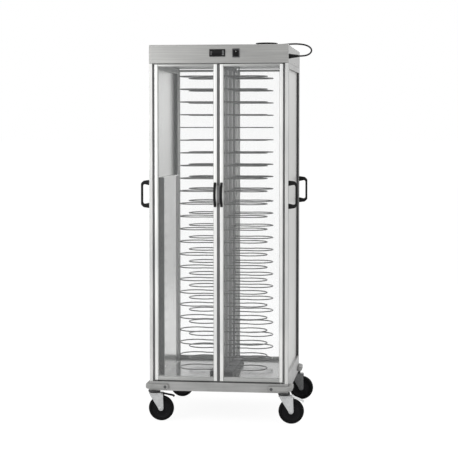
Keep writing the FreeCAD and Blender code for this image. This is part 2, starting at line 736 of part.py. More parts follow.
def coil_path():
    """In, up a layer and out again, with a straight end of one diameter at both ends."""
    total = 2 * COIL_TURNS + CLIMB_TURNS
    marks = [0]
    while marks[-1] < total - 0.001:
        marks.append(marks[-1] + 0.25)
    step = 0.0001
    ways = [(coil_point(turn + step) - coil_point(turn - step)).normalize() for turn in marks]
    ways[0] = -X_AXIS
    ways[-1] = Y_AXIS
    points = [coil_point(turn) for turn in marks]
    edges = [Part.makeLine(points[0] - ways[0] * 2 * CORD_R, points[0])]
    for i in range(len(points) - 1):
        edges += biarc(points[i], ways[i], points[i + 1], ways[i + 1])
    edges.append(Part.makeLine(points[-1], points[-1] + ways[-1] * 2 * CORD_R))
    return Part.Wire(edges)


def least_gap(path):
    """Least gap between turns, measured between points 4 mm apart on the cord's middle."""
    points = path.discretize(Distance=4.0)
    skip = 30
    nearest = min((a - b).Length for i, a in enumerate(points) for b in points[i + skip:])
    return nearest - 2 * CORD_R


def cord():
    body = sided(GLAND_R[0], 8, GLAND - X_AXIS * GLAND_LENGTH[0], X_AXIS, GLAND_LENGTH[0])
    save("cable_gland", join(sided(GLAND_R[1], 6, GLAND, X_AXIS, GLAND_LENGTH[1]), body))
    step = RELIEF_LENGTH / len(RELIEF_R)
    root = GLAND + X_AXIS * GLAND_LENGTH[1]
    rings = [sided(radius, TURNED, root + X_AXIS * i * step, X_AXIS, step)
             for i, radius in enumerate(RELIEF_R)]
    save("strain_relief", join(*rings))
    cord_tube("power_cord", rounded_path(CORD_POINTS))
    path = coil_path()
    print("least gap in the coil %.2f" % least_gap(path))
    cord_tube("cord_coil", path)
    cord_tube("cord_tail", rounded_path(TAIL_POINTS))


def coil_tie():
    """A strap round the bundle at the back of the coil."""
    x = around(COIL.x, TIE_WIDTH)
    y = (COIL.y + TIE_R[0], COIL.y + TIE_R[1])
    strap = box(x, grow(y, TIE_THICK), grow(TIE_Z, TIE_THICK)).cut(box(grow(x, 1), y, TIE_Z))
    save("coil_tie", strap)


def plug():
    """A flat moulded plug lying on the box, with three pins in a row."""
    entry = V(*TAIL_POINTS[-1])
    low = entry - Z_AXIS * (PLUG_HEIGHT / 2)
    body = prism([low + V(x, y, 0) for x, y in PLUG_PLAN], Z_AXIS * PLUG_HEIGHT)
    rims = [e for e in body.Edges if e.BoundBox.ZLength < 0.1 and e.BoundBox.YMax > entry.y + 1]
    save("plug", body.makeChamfer(PLUG_EDGE, [e for e in rims if e.BoundBox.YMin < entry.y + 51]))
    face = entry + Y_AXIS * 52
    roots = [face + X_AXIS * i * PIN_SPACING for i in (-1, 0, 1)]
    save("plug_pins", *[rod(PIN_R, root, Y_AXIS, PIN_LENGTH) for root in roots])


os.makedirs("parts", exist_ok=True)
base_frame()
corner_bumpers()
floor_pan()
side_walls()
top_box()
doors()
hinge_pins()
side_handles()
rack()
plate_rings()
heating()
thermostat()
switch()
casters()
cord()
coil_tie()
plug()
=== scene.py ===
import math
import bpy
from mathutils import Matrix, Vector


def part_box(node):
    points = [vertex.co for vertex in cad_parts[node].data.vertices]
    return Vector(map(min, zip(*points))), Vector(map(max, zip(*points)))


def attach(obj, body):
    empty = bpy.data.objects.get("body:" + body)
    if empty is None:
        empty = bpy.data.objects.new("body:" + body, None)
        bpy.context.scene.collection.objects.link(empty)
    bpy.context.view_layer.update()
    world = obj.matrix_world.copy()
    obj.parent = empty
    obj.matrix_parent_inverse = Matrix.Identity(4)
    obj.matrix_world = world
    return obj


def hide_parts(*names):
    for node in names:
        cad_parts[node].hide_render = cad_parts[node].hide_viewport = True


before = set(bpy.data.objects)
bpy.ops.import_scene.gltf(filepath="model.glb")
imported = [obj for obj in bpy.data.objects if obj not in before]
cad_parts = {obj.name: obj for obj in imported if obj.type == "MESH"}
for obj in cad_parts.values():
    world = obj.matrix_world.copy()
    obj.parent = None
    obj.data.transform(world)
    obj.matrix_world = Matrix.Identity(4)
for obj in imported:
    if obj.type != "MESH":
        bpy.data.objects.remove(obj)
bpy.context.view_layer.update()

# Heated plate cart. Sizes are in millimetres from the middle of the cabinet, as on its drawing.
# The frame's origin lies 17 mm to the right of that middle.
MIDDLE_X = -17.0
HALF = 342.0                 # half the cabinet's width and depth
ENDS = {"front": -1, "rear": 1}
SIDES = {"left": -1, "right": 1}
CORNERS = [(end, side) for end in ENDS for side in SIDES]
X = Vector((1, 0, 0))
Y = Vector((0, 1, 0))
Z = Vector((0, 0, 1))


def mm(x, y, z):
    """A point of the drawing in the frame, in metres."""
    return Vector(((x + MIDDLE_X) / 1000, y / 1000, z / 1000))


def spread(sign, near, far):
    """A span on one side of the middle, from its lower to its upper end."""
    return sorted((sign * near, sign * far))


# Modelling by hand: every piece starts with nothing selected

SEAM_GAP = 0.00002           # metres within which points at a seam are merged
EASED_FROM = 30              # degrees of fold from which an edge is eased


def edit(mode="EDIT"):
    bpy.ops.object.mode_set(mode=mode)


def fresh():
    """Object mode with nothing selected."""
    if bpy.context.object and bpy.context.object.mode != "OBJECT":
        edit("OBJECT")
    bpy.ops.object.select_all(action="DESELECT")


def only(piece):
    """Object mode with this piece alone selected and active."""
    fresh()
    piece.select_set(True)
    bpy.context.view_layer.objects.active = piece


def pick(piece, kind, wanted):
    """In edit mode, selects the edges by middle and run, or the faces by middle and normal."""
    edit("OBJECT")
    mesh = piece.data
    for group in (mesh.vertices, mesh.edges, mesh.polygons):
        for item in group:
            item.select = False
    if kind == "EDGE":
        for item in mesh.edges:
            start, stop = [mesh.vertices[i].co for i in item.vertices]
            item.select = wanted((start + stop) / 2, stop - start)
    else:
        for item in mesh.polygons:
            item.select = wanted(item.center, item.normal)
    edit()
    bpy.ops.mesh.select_mode(type=kind)


def settle(piece, smooth=35):
    """Closes seams, turns faces outwards and leaves the piece's place in its mesh."""
    only(piece)
    edit()
    bpy.ops.mesh.select_all(action="SELECT")
    bpy.ops.mesh.remove_doubles(threshold=SEAM_GAP)
    bpy.ops.mesh.normals_make_consistent(inside=False)
    edit("OBJECT")
    bpy.ops.object.transform_apply(location=True, rotation=True, scale=True)
    bpy.ops.object.shade_smooth_by_angle(angle=math.radians(smooth))
    return piece


def rounded(piece, width, segments):
    """Eases the edges of a piece by a width in millimetres."""
    only(piece)
    ease = piece.modifiers.new("eased_edges", "BEVEL")
    ease.width = width / 1000
    ease.segments = segments
    ease.limit_method = "ANGLE"
    ease.angle_limit = math.radians(EASED_FROM)
    bpy.ops.object.modifier_apply(modifier=ease.name)


def block(name, x, y, z, ease=1.0, segments=2):
    """A bar or block between pairs of millimetres, with eased edges."""
    fresh()
    low, high = mm(x[0], y[0], z[0]), mm(x[1], y[1], z[1])
    bpy.ops.mesh.primitive_cube_add(size=1, location=(low + high) / 2, scale=high - low)
    piece = bpy.context.object
    piece.name = name
    bpy.ops.object.transform_apply(location=True, rotation=True, scale=True)
    if ease:
        rounded(piece, ease, segments)
    return settle(piece)


def drawn(name, points, closed=False):
    """A line drawn from point to point by extruding one vertex."""
    fresh()
    bpy.ops.mesh.primitive_plane_add(size=0.01, location=points[0])
    piece = bpy.context.object
    piece.name = name
    bpy.ops.object.transform_apply(location=True, rotation=True, scale=True)
    edit()
    bpy.ops.mesh.select_mode(type="VERT")
    bpy.ops.mesh.select_all(action="SELECT")
    bpy.ops.mesh.merge(type="CENTER")
    for before, after in zip(points, points[1:]):
        bpy.ops.mesh.extrude_region_move(TRANSFORM_OT_translate={"value": after - before})
    if closed:
        bpy.ops.mesh.select_all(action="SELECT")
        bpy.ops.mesh.edge_face_add()
    edit("OBJECT")
    return piece


def slab(name, outline, depth, ease=1.0, segments=2):
    """A flat outline pushed out by a vector, with eased edges."""
    piece = drawn(name, outline, closed=True)
    edit()
    bpy.ops.mesh.select_all(action="SELECT")
    bpy.ops.mesh.extrude_region_move(TRANSFORM_OT_translate={"value": depth})
    edit("OBJECT")
    settle(piece)
    if ease:
        rounded(piece, ease, segments)
    return settle(piece)


def turned(name, profile, centre, axis, steps=32):
    """A lathe piece: (radius, way along the axis) pairs in millimetres, spun round the axis."""
    across = X if abs(axis.x) < 0.5 else Z
    points = [centre + across * (r / 1000) + axis * (t / 1000) for r, t in profile]
    piece = drawn(name, points)
    edit()
    bpy.ops.mesh.select_all(action="SELECT")
    bpy.ops.mesh.spin(steps=steps, angle=2 * math.pi, center=centre, axis=axis)
    edit("OBJECT")
    return settle(piece, smooth=40)


def wire(name, points, radius, sides):
    """A bent wire: a drawn line given a round section."""
    only(drawn(name, points))
    bpy.ops.object.convert(target="CURVE")
    line = bpy.context.object.data
    line.bevel_depth = radius / 1000
    line.bevel_resolution = sides
    line.use_fill_caps = True
    bpy.ops.object.convert(target="MESH")
    return settle(bpy.context.object, smooth=50)


def joined(name, pieces):
    """Several pieces as one."""
    fresh()
    for piece in pieces:
        piece.select_set(True)
    bpy.context.view_layer.objects.active = pieces[0]
    bpy.ops.object.join()
    piece = bpy.context.object
    piece.name = name
    piece.data.name = name
    return piece


def copied(piece, name, move=(0, 0, 0), mirror=(1, 1, 1)):
    """A copy with its own mesh, mirrored about the middle of the cabinet and moved by millimetres."""
    only(piece)
    bpy.ops.object.duplicate()
    copy = bpy.context.object
    copy.name = name
    across = MIDDLE_X * (1 - mirror[0])
    copy.location = (across / 1000 + move[0] / 1000, move[1] / 1000, move[2] / 1000)
    copy.scale = mirror
    bpy.ops.object.transform_apply(location=True, rotation=True, scale=True)
    if math.prod(mirror) < 0:
        edit()
        bpy.ops.mesh.select_all(action="SELECT")
        bpy.ops.mesh.normals_make_consistent(inside=False)
        edit("OBJECT")
    return copy


def mirror_to(end, side):
    """The mirroring that takes a front left piece to another corner."""
    return (-1 if side == "right" else 1, -1 if end == "rear" else 1, 1)


def four(name, piece):
    """The front left piece with its mirror images at the other corners, as one piece."""
    others = [copied(piece, name, mirror=mirror_to(end, side)) for end, side in CORNERS[1:]]
    return joined(name, [piece] + others)


def fit(piece, body, slot, finish_used, *nodes):
    """Puts a finished piece on its body, in place of the plain solids it stands for."""
    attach(piece, body)
    if nodes:
        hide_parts(*nodes)
    piece.data.materials.clear()
    piece.data.materials.append(finish_used)
    return piece


# Finishes

def linear(hex_colour):
    """A colour written as sRGB hex, as the linear values that shaders take."""
    parts = [int(hex_colour[i:i + 2], 16) / 255 for i in (1, 3, 5)]
    return [c / 12.92 if c <= 0.04045 else ((c + 0.055) / 1.055) ** 2.4 for c in parts] + [1.0]


def add(tree, kind, settings=None, links=None):
    """Adds a node: settings by property or input name, links by input name to (node, output)."""
    made = tree.nodes.new(kind)
    for key, value in (settings or {}).items():
        if isinstance(key, int) or key in made.inputs:
            made.inputs[key].default_value = value
        else:
            setattr(made, key, value)
    for key, (source, output) in (links or {}).items():
        tree.links.new(source.outputs[output], made.inputs[key])
    return made


def ramp_colours(ramp, *stops):
    for element, (place, colour) in zip(ramp.color_ramp.elements, stops):
        element.position = place
        element.color = colour


GRAIN_SHARE = 0.45           # how much of the tone follows the grain, the rest the soft drift
TONE_ENDS = (0.36, 0.64)     # noise values at which the two tones are reached
GRAIN_DEPTH = 0.0004         # metres


def finish(name, dark, light, rough, grain_mm, stretch=(1, 1, 1), metal=0.0, bump=0.1,
           cloud_mm=180, **sockets):
    """A surface whose colour drifts softly between two tones, with a grain in gloss and relief."""
    material = bpy.data.materials.new(name)
    material.use_nodes = True
    tree = material.node_tree
    shader = tree.nodes["Principled BSDF"]
    shader.inputs["Metallic"].default_value = metal
    for key, value in sockets.items():
        shader.inputs[key.replace("_", " ")].default_value = value
    place = add(tree, "ShaderNodeTexCoord")
    cloud = add(tree, "ShaderNodeTexNoise", {"Scale": 1000 / cloud_mm, "Detail": 3.0},
                {"Vector": (place, "Object")})
    run = add(tree, "ShaderNodeMapping", {"Scale": stretch}, {"Vector": (place, "Object")})
    grain = add(tree, "ShaderNodeTexNoise", {"Scale": 1000 / grain_mm, "Detail": 4.0},
                {"Vector": (run, "Vector")})
    blend = add(tree, "ShaderNodeMix", {"data_type": "FLOAT", "Factor": GRAIN_SHARE},
                {2: (cloud, "Fac"), 3: (grain, "Fac")})
    tone = add(tree, "ShaderNodeValToRGB", links={"Fac": (blend, 0)})
    ramp_colours(tone, (TONE_ENDS[0], linear(dark)), (TONE_ENDS[1], linear(light)))
    tree.links.new(tone.outputs["Color"], shader.inputs["Base Color"])
    gloss = add(tree, "ShaderNodeMapRange", {"To Min": rough[0], "To Max": rough[1]},
                {"Value": (grain, "Fac")})
    tree.links.new(gloss.outputs["Result"], shader.inputs["Roughness"])
    relief = add(tree, "ShaderNodeBump", {"Strength": bump, "Distance": GRAIN_DEPTH},
                 {"Height": (grain, "Fac")})
    tree.links.new(relief.outputs["Normal"], shader.inputs["Normal"])
    return material


# Grain drawn out along a profile, along a crosswise rail, or level round a sheet. Real brush and
# drawing lines are finer than a millimetre: they are drawn coarser here so that they show.
UPRIGHT = (1, 1, 0.02)
CROSSWISE = (0.02, 1, 1)
LEVEL = (0.02, 0.02, 1)
PLASTIC_IOR = 1.49
RUBBER_IOR = 1.52

# Natural anodised aluminium profiles: pale, satin, with faint drawing lines along their length
ANODISED = finish("anodised_aluminium", "#d2d3d2", "#e6e6e4", (0.34, 0.46), 3, UPRIGHT,
                  metal=0.35, bump=0.05)
POST = finish("anodised_aluminium_post", "#bcbdbc", "#cfcfcd", (0.34, 0.46), 3, UPRIGHT,
              metal=0.45, bump=0.05)
# Outer flanks of the posts: the same aluminium painted darker, as painted shade on the sides
FLANK_PAINTED_SHADE = finish("anodised_aluminium_flank_painted_shade", "#8f908f", "#a2a3a1", (0.36, 0.48), 3, UPRIGHT,
               metal=0.5, bump=0.05)
# Door rails: the same aluminium as the stiles, painted darker as painted shade
RAIL_PAINTED_SHADE = finish("anodised_aluminium_rail_painted_shade", "#939493", "#a8a9a7", (0.34, 0.46), 3, CROSSWISE,
              metal=0.45, bump=0.05)
# Stainless sheet with a fine level brush: grey, softly mirroring, streaked along the sheet
BRUSHED_BOX = finish("brushed_stainless_cover", "#8a8a89", "#a4a4a2", (0.30, 0.44), 4, LEVEL,
                     metal=0.6, bump=0.06, cloud_mm=900)
BRUSHED_BASE = finish("brushed_stainless_base", "#8e8e8d", "#a6a6a5", (0.32, 0.46), 4, LEVEL,
                      metal=0.6, bump=0.06)
# Ceiling sheet: the same steel, painted darker as painted shade inside the cabinet
CEILING_PAINTED_SHADE = finish("stainless_ceiling_painted_shade", "#6a6a69", "#80807f", (0.34, 0.46), 4, CROSSWISE,
                 metal=0.6, bump=0.05)
# Panels of the side walls: the same sheet in a lighter, calmer finish; the inner face is painted brighter, as
# painted light
PANEL = finish("satin_stainless_panel", "#bebebc", "#d0d0ce", (0.36, 0.48), 4, UPRIGHT,
               metal=0.45, bump=0.04, cloud_mm=900)
PANEL_IN_PAINTED_LIGHT = finish("stainless_lining_painted_light", "#e6e6e4", "#f0f0ee", (0.24, 0.34), 4, UPRIGHT,
                  metal=0.7, bump=0.04)
# Heater boxes: bright sheet that mirrors the floor; their vented ends and rear strip are the same sheet
# painted dark, as painted shade
HEATER = finish("bright_stainless_heater", "#cfcfcd", "#e2e2e0", (0.12, 0.22), 4, UPRIGHT,
                metal=0.6, bump=0.03)
VENT_PAINTED_SHADE = finish("heater_end_painted_shade", "#474746", "#5a5a59", (0.35, 0.5), 3, (1, 1, 0.2),
              metal=0.5, bump=0.08)
# Floor tray, bright rolled: mirrors the rack
TRAY = finish("bright_rolled_tray", "#7b7b7a", "#919190", (0.10, 0.20), 6, (0.1, 1, 1),
              metal=0.85, bump=0.02)
# Rack tube and wire: bright drawn steel, painted dark as painted shade for how it is seen against the light
RACK_PAINTED_SHADE = finish("drawn_steel_tube_painted_shade", "#6e6e6e", "#868685", (0.28, 0.42), 4, (1, 1, 0.03),
              metal=0.7, bump=0.05)
WIRE_PAINTED_SHADE = finish("drawn_wire_painted_shade", "#4e4e4e", "#6a6a69", (0.24, 0.36), 3, metal=0.8, bump=0.03)
# Rack channels: satin grey paint
CHANNEL = finish("grey_painted_channel", "#3c3c3d", "#4d4d4e", (0.45, 0.6), 2)
# Zinc plated pressings: cool light grey with a slight spangle; painted darker at the rear and dark on the
# swivel plates, as painted shade
ZINC = finish("bright_zinc_plate", "#a9aaab", "#c5c6c6", (0.26, 0.42), 5,
              metal=0.6, bump=0.06, cloud_mm=40)
SWIVEL_PAINTED_SHADE = finish("swivel_plate_painted_shade", "#2b2b2c", "#3a3a3b", (0.35, 0.5), 3,
              metal=0.5, bump=0.06, cloud_mm=40)
ZINC_PAINTED_SHADE = finish("zinc_plate_painted_shade", "#5c5d5e", "#737474", (0.36, 0.5), 5,
                   metal=0.6, bump=0.06, cloud_mm=40)
# Moulded black plastic with a fine spark-eroded grain, and polished on the rocker
BLACK = finish("grained_black_plastic", "#080808", "#101011", (0.42, 0.58), 1.2,
               bump=0.25, cloud_mm=60, IOR=PLASTIC_IOR, Specular_IOR_Level=0.18)
GLOSSY = finish("polished_black_plastic", "#0a0a0b", "#111112", (0.12, 0.2), 2,
                bump=0.02, cloud_mm=30, IOR=PLASTIC_IOR, Specular_IOR_Level=0.18)
# Moulded grey plastics of keys, switch frame and latch: even, satin
KEYGREY = finish("satin_grey_plastic", "#5c5d5e", "#6c6d6e", (0.4, 0.5), 1.0,
                 cloud_mm=20, IOR=PLASTIC_IOR)
SWITCH = finish("dark_grey_plastic", "#38383a", "#464648", (0.4, 0.5), 1.0,
                bump=0.15, cloud_mm=20, IOR=PLASTIC_IOR)
LATCH = finish("moulded_grey_plastic", "#7b7b7c", "#8d8d8e", (0.4, 0.52), 1.2,
               bump=0.15, cloud_mm=30, IOR=PLASTIC_IOR)
# Printed white line on the rocker: matt
MARK = finish("white_printed_mark", "#d8d8d6", "#e6e6e4", (0.5, 0.6), 1.0, bump=0.02, cloud_mm=20)
# Smoked acrylic over the display: nearly black, sharp gloss
SMOKED = finish("smoked_window", "#050506", "#0b0b0c", (0.06, 0.1), 20,
                bump=0.0, cloud_mm=40, IOR=PLASTIC_IOR, Specular_IOR_Level=0.25)
# Grey bumper rubber: matt, dusty, slightly mottled
BUMPER = finish("grey_bumper_rubber", "#858584", "#9b9b99", (0.62, 0.78), 2.5,
                bump=0.2, cloud_mm=50, IOR=RUBBER_IOR)
# Seal rubber: matt strips, painted grey in the gaps as painted light, painted darker beside the panels and
# between the doors as painted shade, pale round the panes
SEAL_PAINTED_LIGHT = finish("seal_rubber_painted_light", "#8e8e90", "#a2a2a3", (0.6, 0.75), 2,
              cloud_mm=60, IOR=RUBBER_IOR)
GASKET_PAINTED_SHADE = finish("gasket_rubber_painted_shade", "#2a2a2b", "#373738", (0.6, 0.75), 2,
                cloud_mm=60, IOR=RUBBER_IOR)
LIP_PAINTED_SHADE = finish("lip_rubber_painted_shade", "#4e4e4f", "#5f5f60", (0.6, 0.75), 2, cloud_mm=60, IOR=RUBBER_IOR)
BEAD = finish("pale_glazing_bead", "#a8a8a7", "#bcbcba", (0.5, 0.65), 2,
              cloud_mm=60, IOR=RUBBER_IOR)
# Wheels: matt black tyre on a smoother moulded core
TYRE = finish("black_wheel_rubber", "#040405", "#0a0a0b", (0.5, 0.68), 2.5,
              bump=0.25, cloud_mm=40, IOR=RUBBER_IOR, Specular_IOR_Level=0.1)
CORE = finish("black_wheel_core", "#08080a", "#101012", (0.35, 0.5), 1.5,
              bump=0.15, cloud_mm=30, IOR=PLASTIC_IOR, Specular_IOR_Level=0.12)
# Cord sheath, strain relief and plug: black rubber, satin
CORD = finish("black_cord_rubber", "#0c0c0c", "#161617", (0.48, 0.62), 1.5,
              bump=0.12, cloud_mm=40, IOR=RUBBER_IOR, Specular_IOR_Level=0.18)
# Plug pins: nickel plated brass, bright with a warm tinge
PLATED = finish("nickel_plated_brass", "#b9b2a0", "#d4cebd", (0.14, 0.24), 2,
                metal=1.0, bump=0.02, cloud_mm=20)
# Clear pane: almost invisible, with a faint cool body and sharp weak reflections
PANE = finish("clear_pane", "#eef2f2", "#f6f8f8", (0.02, 0.05), 60,
              bump=0.0, cloud_mm=600, IOR=1.45, Alpha=0.05)


# Studio: plain pale floor, soft light from all round and three large soft boxes

FILL_LIGHT = 0.70            # strength of the world as it lights the cart
BACKDROP = 1.0               # strength of the world where it is seen, also in metal and glass
FLOOR_SIZE = 300             # metres, so that its edge is out of sight
FLOOR_TONE = (0.9, 0.9, 0.9, 1)
FLOOR_ROUGH = 0.9
FLOOR_GLOW = 1.07
FLOOR_GLOW_SHARE = 0.86      # share of the glow where the floor is seen; the rest keeps the shadow
# Each lamp's name, place and size in metres, and power in watts
LAMPS = (("soft_box_left", (-1.7, -2.2, 1.8), 1.6, 33),
         ("soft_box_right", (3.4, -3.0, 2.8), 3.6, 48),
         ("soft_box_back", (1.3, 4.0, 3.9), 3.0, 80))
LAMPS_AIM = Vector((0, 0, 1.0))


def studio_world():
    """Soft light from all round, plain white where it is seen."""
    scene = bpy.context.scene
    scene.view_settings.view_transform = "Standard"
    world = bpy.data.worlds.new("pale_studio")
    scene.world = world
    world.use_nodes = True
    tree = world.node_tree
    rays = add(tree, "ShaderNodeLightPath")
    seen = add(tree, "ShaderNodeMath", {"operation": "ADD"},
               {0: (rays, "Is Camera Ray"), 1: (rays, "Is Glossy Ray")})
    seen = add(tree, "ShaderNodeMath", {"operation": "ADD", "use_clamp": True},
               {0: (seen, 0), 1: (rays, "Is Transmission Ray")})
    strength = add(tree, "ShaderNodeMapRange", {"To Min": FILL_LIGHT, "To Max": BACKDROP},
                   {"Value": (seen, 0)})
    tree.links.new(strength.outputs["Result"], tree.nodes["Background"].inputs["Strength"])
    tree.nodes["Background"].inputs["Color"].default_value = (1, 1, 1, 1)


def studio_floor():
    """White paper that glows where it is seen and keeps a faint shadow."""
    fresh()
    bpy.ops.mesh.primitive_plane_add(size=FLOOR_SIZE, location=(0, 0, 0))
    floor = bpy.context.object
    floor.name = "studio_floor"
    paper = bpy.data.materials.new("white_paper_floor")
    paper.use_nodes = True
    tree = paper.node_tree
    sheet = tree.nodes["Principled BSDF"]
    sheet.inputs["Base Color"].default_value = FLOOR_TONE
    sheet.inputs["Roughness"].default_value = FLOOR_ROUGH
    glow = add(tree, "ShaderNodeEmission", {"Color": (1, 1, 1, 1), "Strength": FLOOR_GLOW})
    rays = add(tree, "ShaderNodeLightPath")
    seen = add(tree, "ShaderNodeMath", {"operation": "MAXIMUM"},
               {0: (rays, "Is Camera Ray"), 1: (rays, "Is Transmission Ray")})
    share = add(tree, "ShaderNodeMath", {"operation": "MULTIPLY", 1: FLOOR_GLOW_SHARE},
                {0: (seen, 0)})
    mixed = add(tree, "ShaderNodeMixShader",
                links={0: (share, 0), 1: (sheet, "BSDF"), 2: (glow, "Emission")})
    tree.links.new(mixed.outputs["Shader"], tree.nodes["Material Output"].inputs["Surface"])
    floor.data.materials.append(paper)


def studio_lamps():
    for name, place, size, power in LAMPS:
        fresh()
        bpy.ops.object.light_add(type="AREA", location=place)
        lamp = bpy.context.object
        lamp.name = name
        lamp.data.size = size
        lamp.data.energy = power
        lamp.rotation_mode = "QUATERNION"
        lamp.rotation_quaternion = (LAMPS_AIM - Vector(place)).to_track_quat("-Z", "Y")


EYE = (0.924, -7.248, 1.444)
LENS = 112.5
LENS_SHIFT = -0.06
EYE_HEADING = 7.33           # degrees to the left of straight on
EYE_DOWN = 2.93              # degrees below level


def camera():
    """A long lens at chest height, a little right of the middle."""
    fresh()
    bpy.ops.object.camera_add(location=EYE)
    eye = bpy.context.object
    eye.name = "photo_view"
    eye.data.sensor_width = 36.0
    eye.data.lens = LENS
    eye.data.shift_y = LENS_SHIFT
    heading = math.radians(EYE_HEADING)
    down = math.radians(EYE_DOWN)
    look = Vector((-math.sin(heading) * math.cos(down), math.cos(heading) * math.cos(down),
                   -math.sin(down)))
    eye.rotation_mode = "QUATERNION"
    eye.rotation_quaternion = look.to_track_quat("-Z", "Y")
    bpy.context.scene.camera = eye


# Mains cord: ROUTE runs from the strain relief to the coil on top of the box, TAIL on to the plug

ROUTE = ((388, -310, 1793), (417, -310, 1793), (441, -295.5, 1803), (450, -271, 1820), (441, -246, 1838),
         (418, -225.5, 1850.5), (388, -209.5, 1856.5), (355, -195.5, 1858.5), (322, -180.5, 1857.5),
         (291, -169, 1856.3), (257, -164, 1856.3), (223, -164, 1856.3))
TAIL = ((161, -70, 1864.9), (163, -34, 1860.5), (167, 2, 1856.5), (171.5, 36, 1856.5), (174, 70, 1860),
        (174, 100, 1860))
COIL = Vector((215, -110, 1856.3))
TURN_PITCH = 8.6             # from turn to turn, outwards and upwards
COIL_IN_R = 42.175
COIL_TURNS = 1.375           # turns in each layer
CLIMB_TURNS = 0.5            # turns on the way to the upper layer
CLIMB_DIP = 1.3              # the climb runs a little closer to the middle
POINTS_PER_TURN = 20
CORD_R = 4.0


def coil_point(turn):
    """The cord's middle after so many clockwise turns from the front of the coil."""
    climbed = COIL_TURNS + CLIMB_TURNS
    share = min(max((turn - COIL_TURNS) / CLIMB_TURNS, 0), 1)
    out = TURN_PITCH * max(COIL_TURNS - turn, turn - climbed, 0)
    radius = COIL_IN_R + out - CLIMB_DIP * math.sin(math.pi * share)
    angle = -math.pi / 2 - 2 * math.pi * turn
    return COIL + Vector((radius * math.cos(angle), radius * math.sin(angle), TURN_PITCH * share))


def mains_cord():
    """The lead as one curve with a round section, from the strain relief to the plug."""
    total = 2 * COIL_TURNS + CLIMB_TURNS
    turns = [coil_point(i / POINTS_PER_TURN) for i in range(int(total * POINTS_PER_TURN) + 1)]
    points = [mm(*p) for p in ROUTE] + [mm(*p) for p in turns] + [mm(*p) for p in TAIL]
    curve = bpy.data.curves.new("mains_cord", "CURVE")
    curve.dimensions = "3D"
    spline = curve.splines.new("NURBS")
    spline.points.add(len(points) - 1)
    for point, place in zip(spline.points, points):
        point.co = (*place, 1)
        point.radius = CORD_R / 1000
    spline.order_u = 3
    spline.use_endpoint_u = True
    spline.resolution_u = 6
    curve.bevel_depth = 1.0
    curve.bevel_resolution = 4
    curve.use_fill_caps = True
    cord = bpy.data.objects.new("mains_cord", curve)
    bpy.context.collection.objects.link(cord)
    fit(cord, "cart", "cord_rubber", CORD, "power_cord", "cord_coil", "cord_tail")
    return cord


# Casters

CASTER = 322.0               # swivel axes from the middle, both ways
TRAIL = 35.0                 # axle from the swivel axis, to the right at rest
AXLE_Z = 62.5
WHEEL_PROFILE = ((5.1, -16), (12.5, -16), (14.5, -14.8), (15.5, -11), (19, -8.5), (43, -7.5),
                 (46.5, -9.2), (48, -13), (50, -13.6), (54, -13.9), (58.6, -12.6), (61.4, -9.4),
                 (62.5, -5))
CORE_R = 48.5
FORK_OUT = 20.0              # outer faces of the legs from the wheel's middle
FORK_SHEET = 3.0
FORK_TOE = 13.0              # round end of a leg
FORK_TOP = ((-19, 126), (-17, 139), (44, 139), (46, 132))
BRIDGE_X = (-17.5, 44.0)
BRIDGE_Z = (135.5, 139.4)
DOME_PROFILE = ((6.3, 129.2), (21, 129.2), (26, 131), (27, 134), (26.6, 138), (24, 139.3), (6.3, 139.3),
                (6.3, 129.2))
AXLE_NUT_PROFILE = ((0, 0), (8.6, 0), (9, 0.4), (9, 3.2), (7.6, 3.9), (0, 3.9))
AXLE_PROFILE = ((0, -20), (4.9, -20), (4.9, 20), (0, 20))
HEAD_PROFILE = ((6.1, 140.1), (24, 140.1), (28.5, 141.6), (30, 144.5), (30, 149), (29, 150.2),
                (29.6, 151.9), (6.1, 151.9), (6.1, 140.1))
KING_NUT_PROFILE = ((0, 125), (9.4, 125), (10, 125.6), (10, 128), (9.4, 128.6), (0, 128.6))
PEDAL_X = 40.0               # pedal pin from the swivel axis
PEDAL_Z = 134.5
PEDAL_SLOPE = {"left": 10.0, "right": 22.0}
PEDAL_OUTLINE = ((-4, -3), (-4, 3), (50, 3), (56, 2.4), (60, 0), (62, -4), (59, -4), (57.5, -1.4),
                 (54, -0.2), (5, 0), (2, -3))
PEDAL_PIN_PROFILE = ((0, -20), (2.4, -20), (2.4, 20), (0, 20))
TREAD_HALF = 16.2
TREAD_RIB = ((0, 2.8), (0, 3.9), (3, 3.9), (3, 2.8))
TREAD_RIB_HALF = 13.0
TREAD_RIBS_AT = (24, 31, 38, 45)


def wheel():
    """A solid rubber tyre on a dished plastic core, spun as one closed ring."""
    hub = mm(-CASTER + TRAIL, -CASTER, AXLE_Z)
    far = [(r, -t) for r, t in reversed(WHEEL_PROFILE)]
    piece = turned("wheel", list(WHEEL_PROFILE) + far + [WHEEL_PROFILE[0]], hub, Y, steps=64)
    return piece, hub


def core_of(piece, hub):
    """The dished middle of a wheel takes the core's finish."""
    piece.data.materials.append(CORE)
    for face in piece.data.polygons:
        from_hub = face.center - hub
        if Vector((from_hub.x, from_hub.z)).length < CORE_R / 1000:
            face.material_index = 1


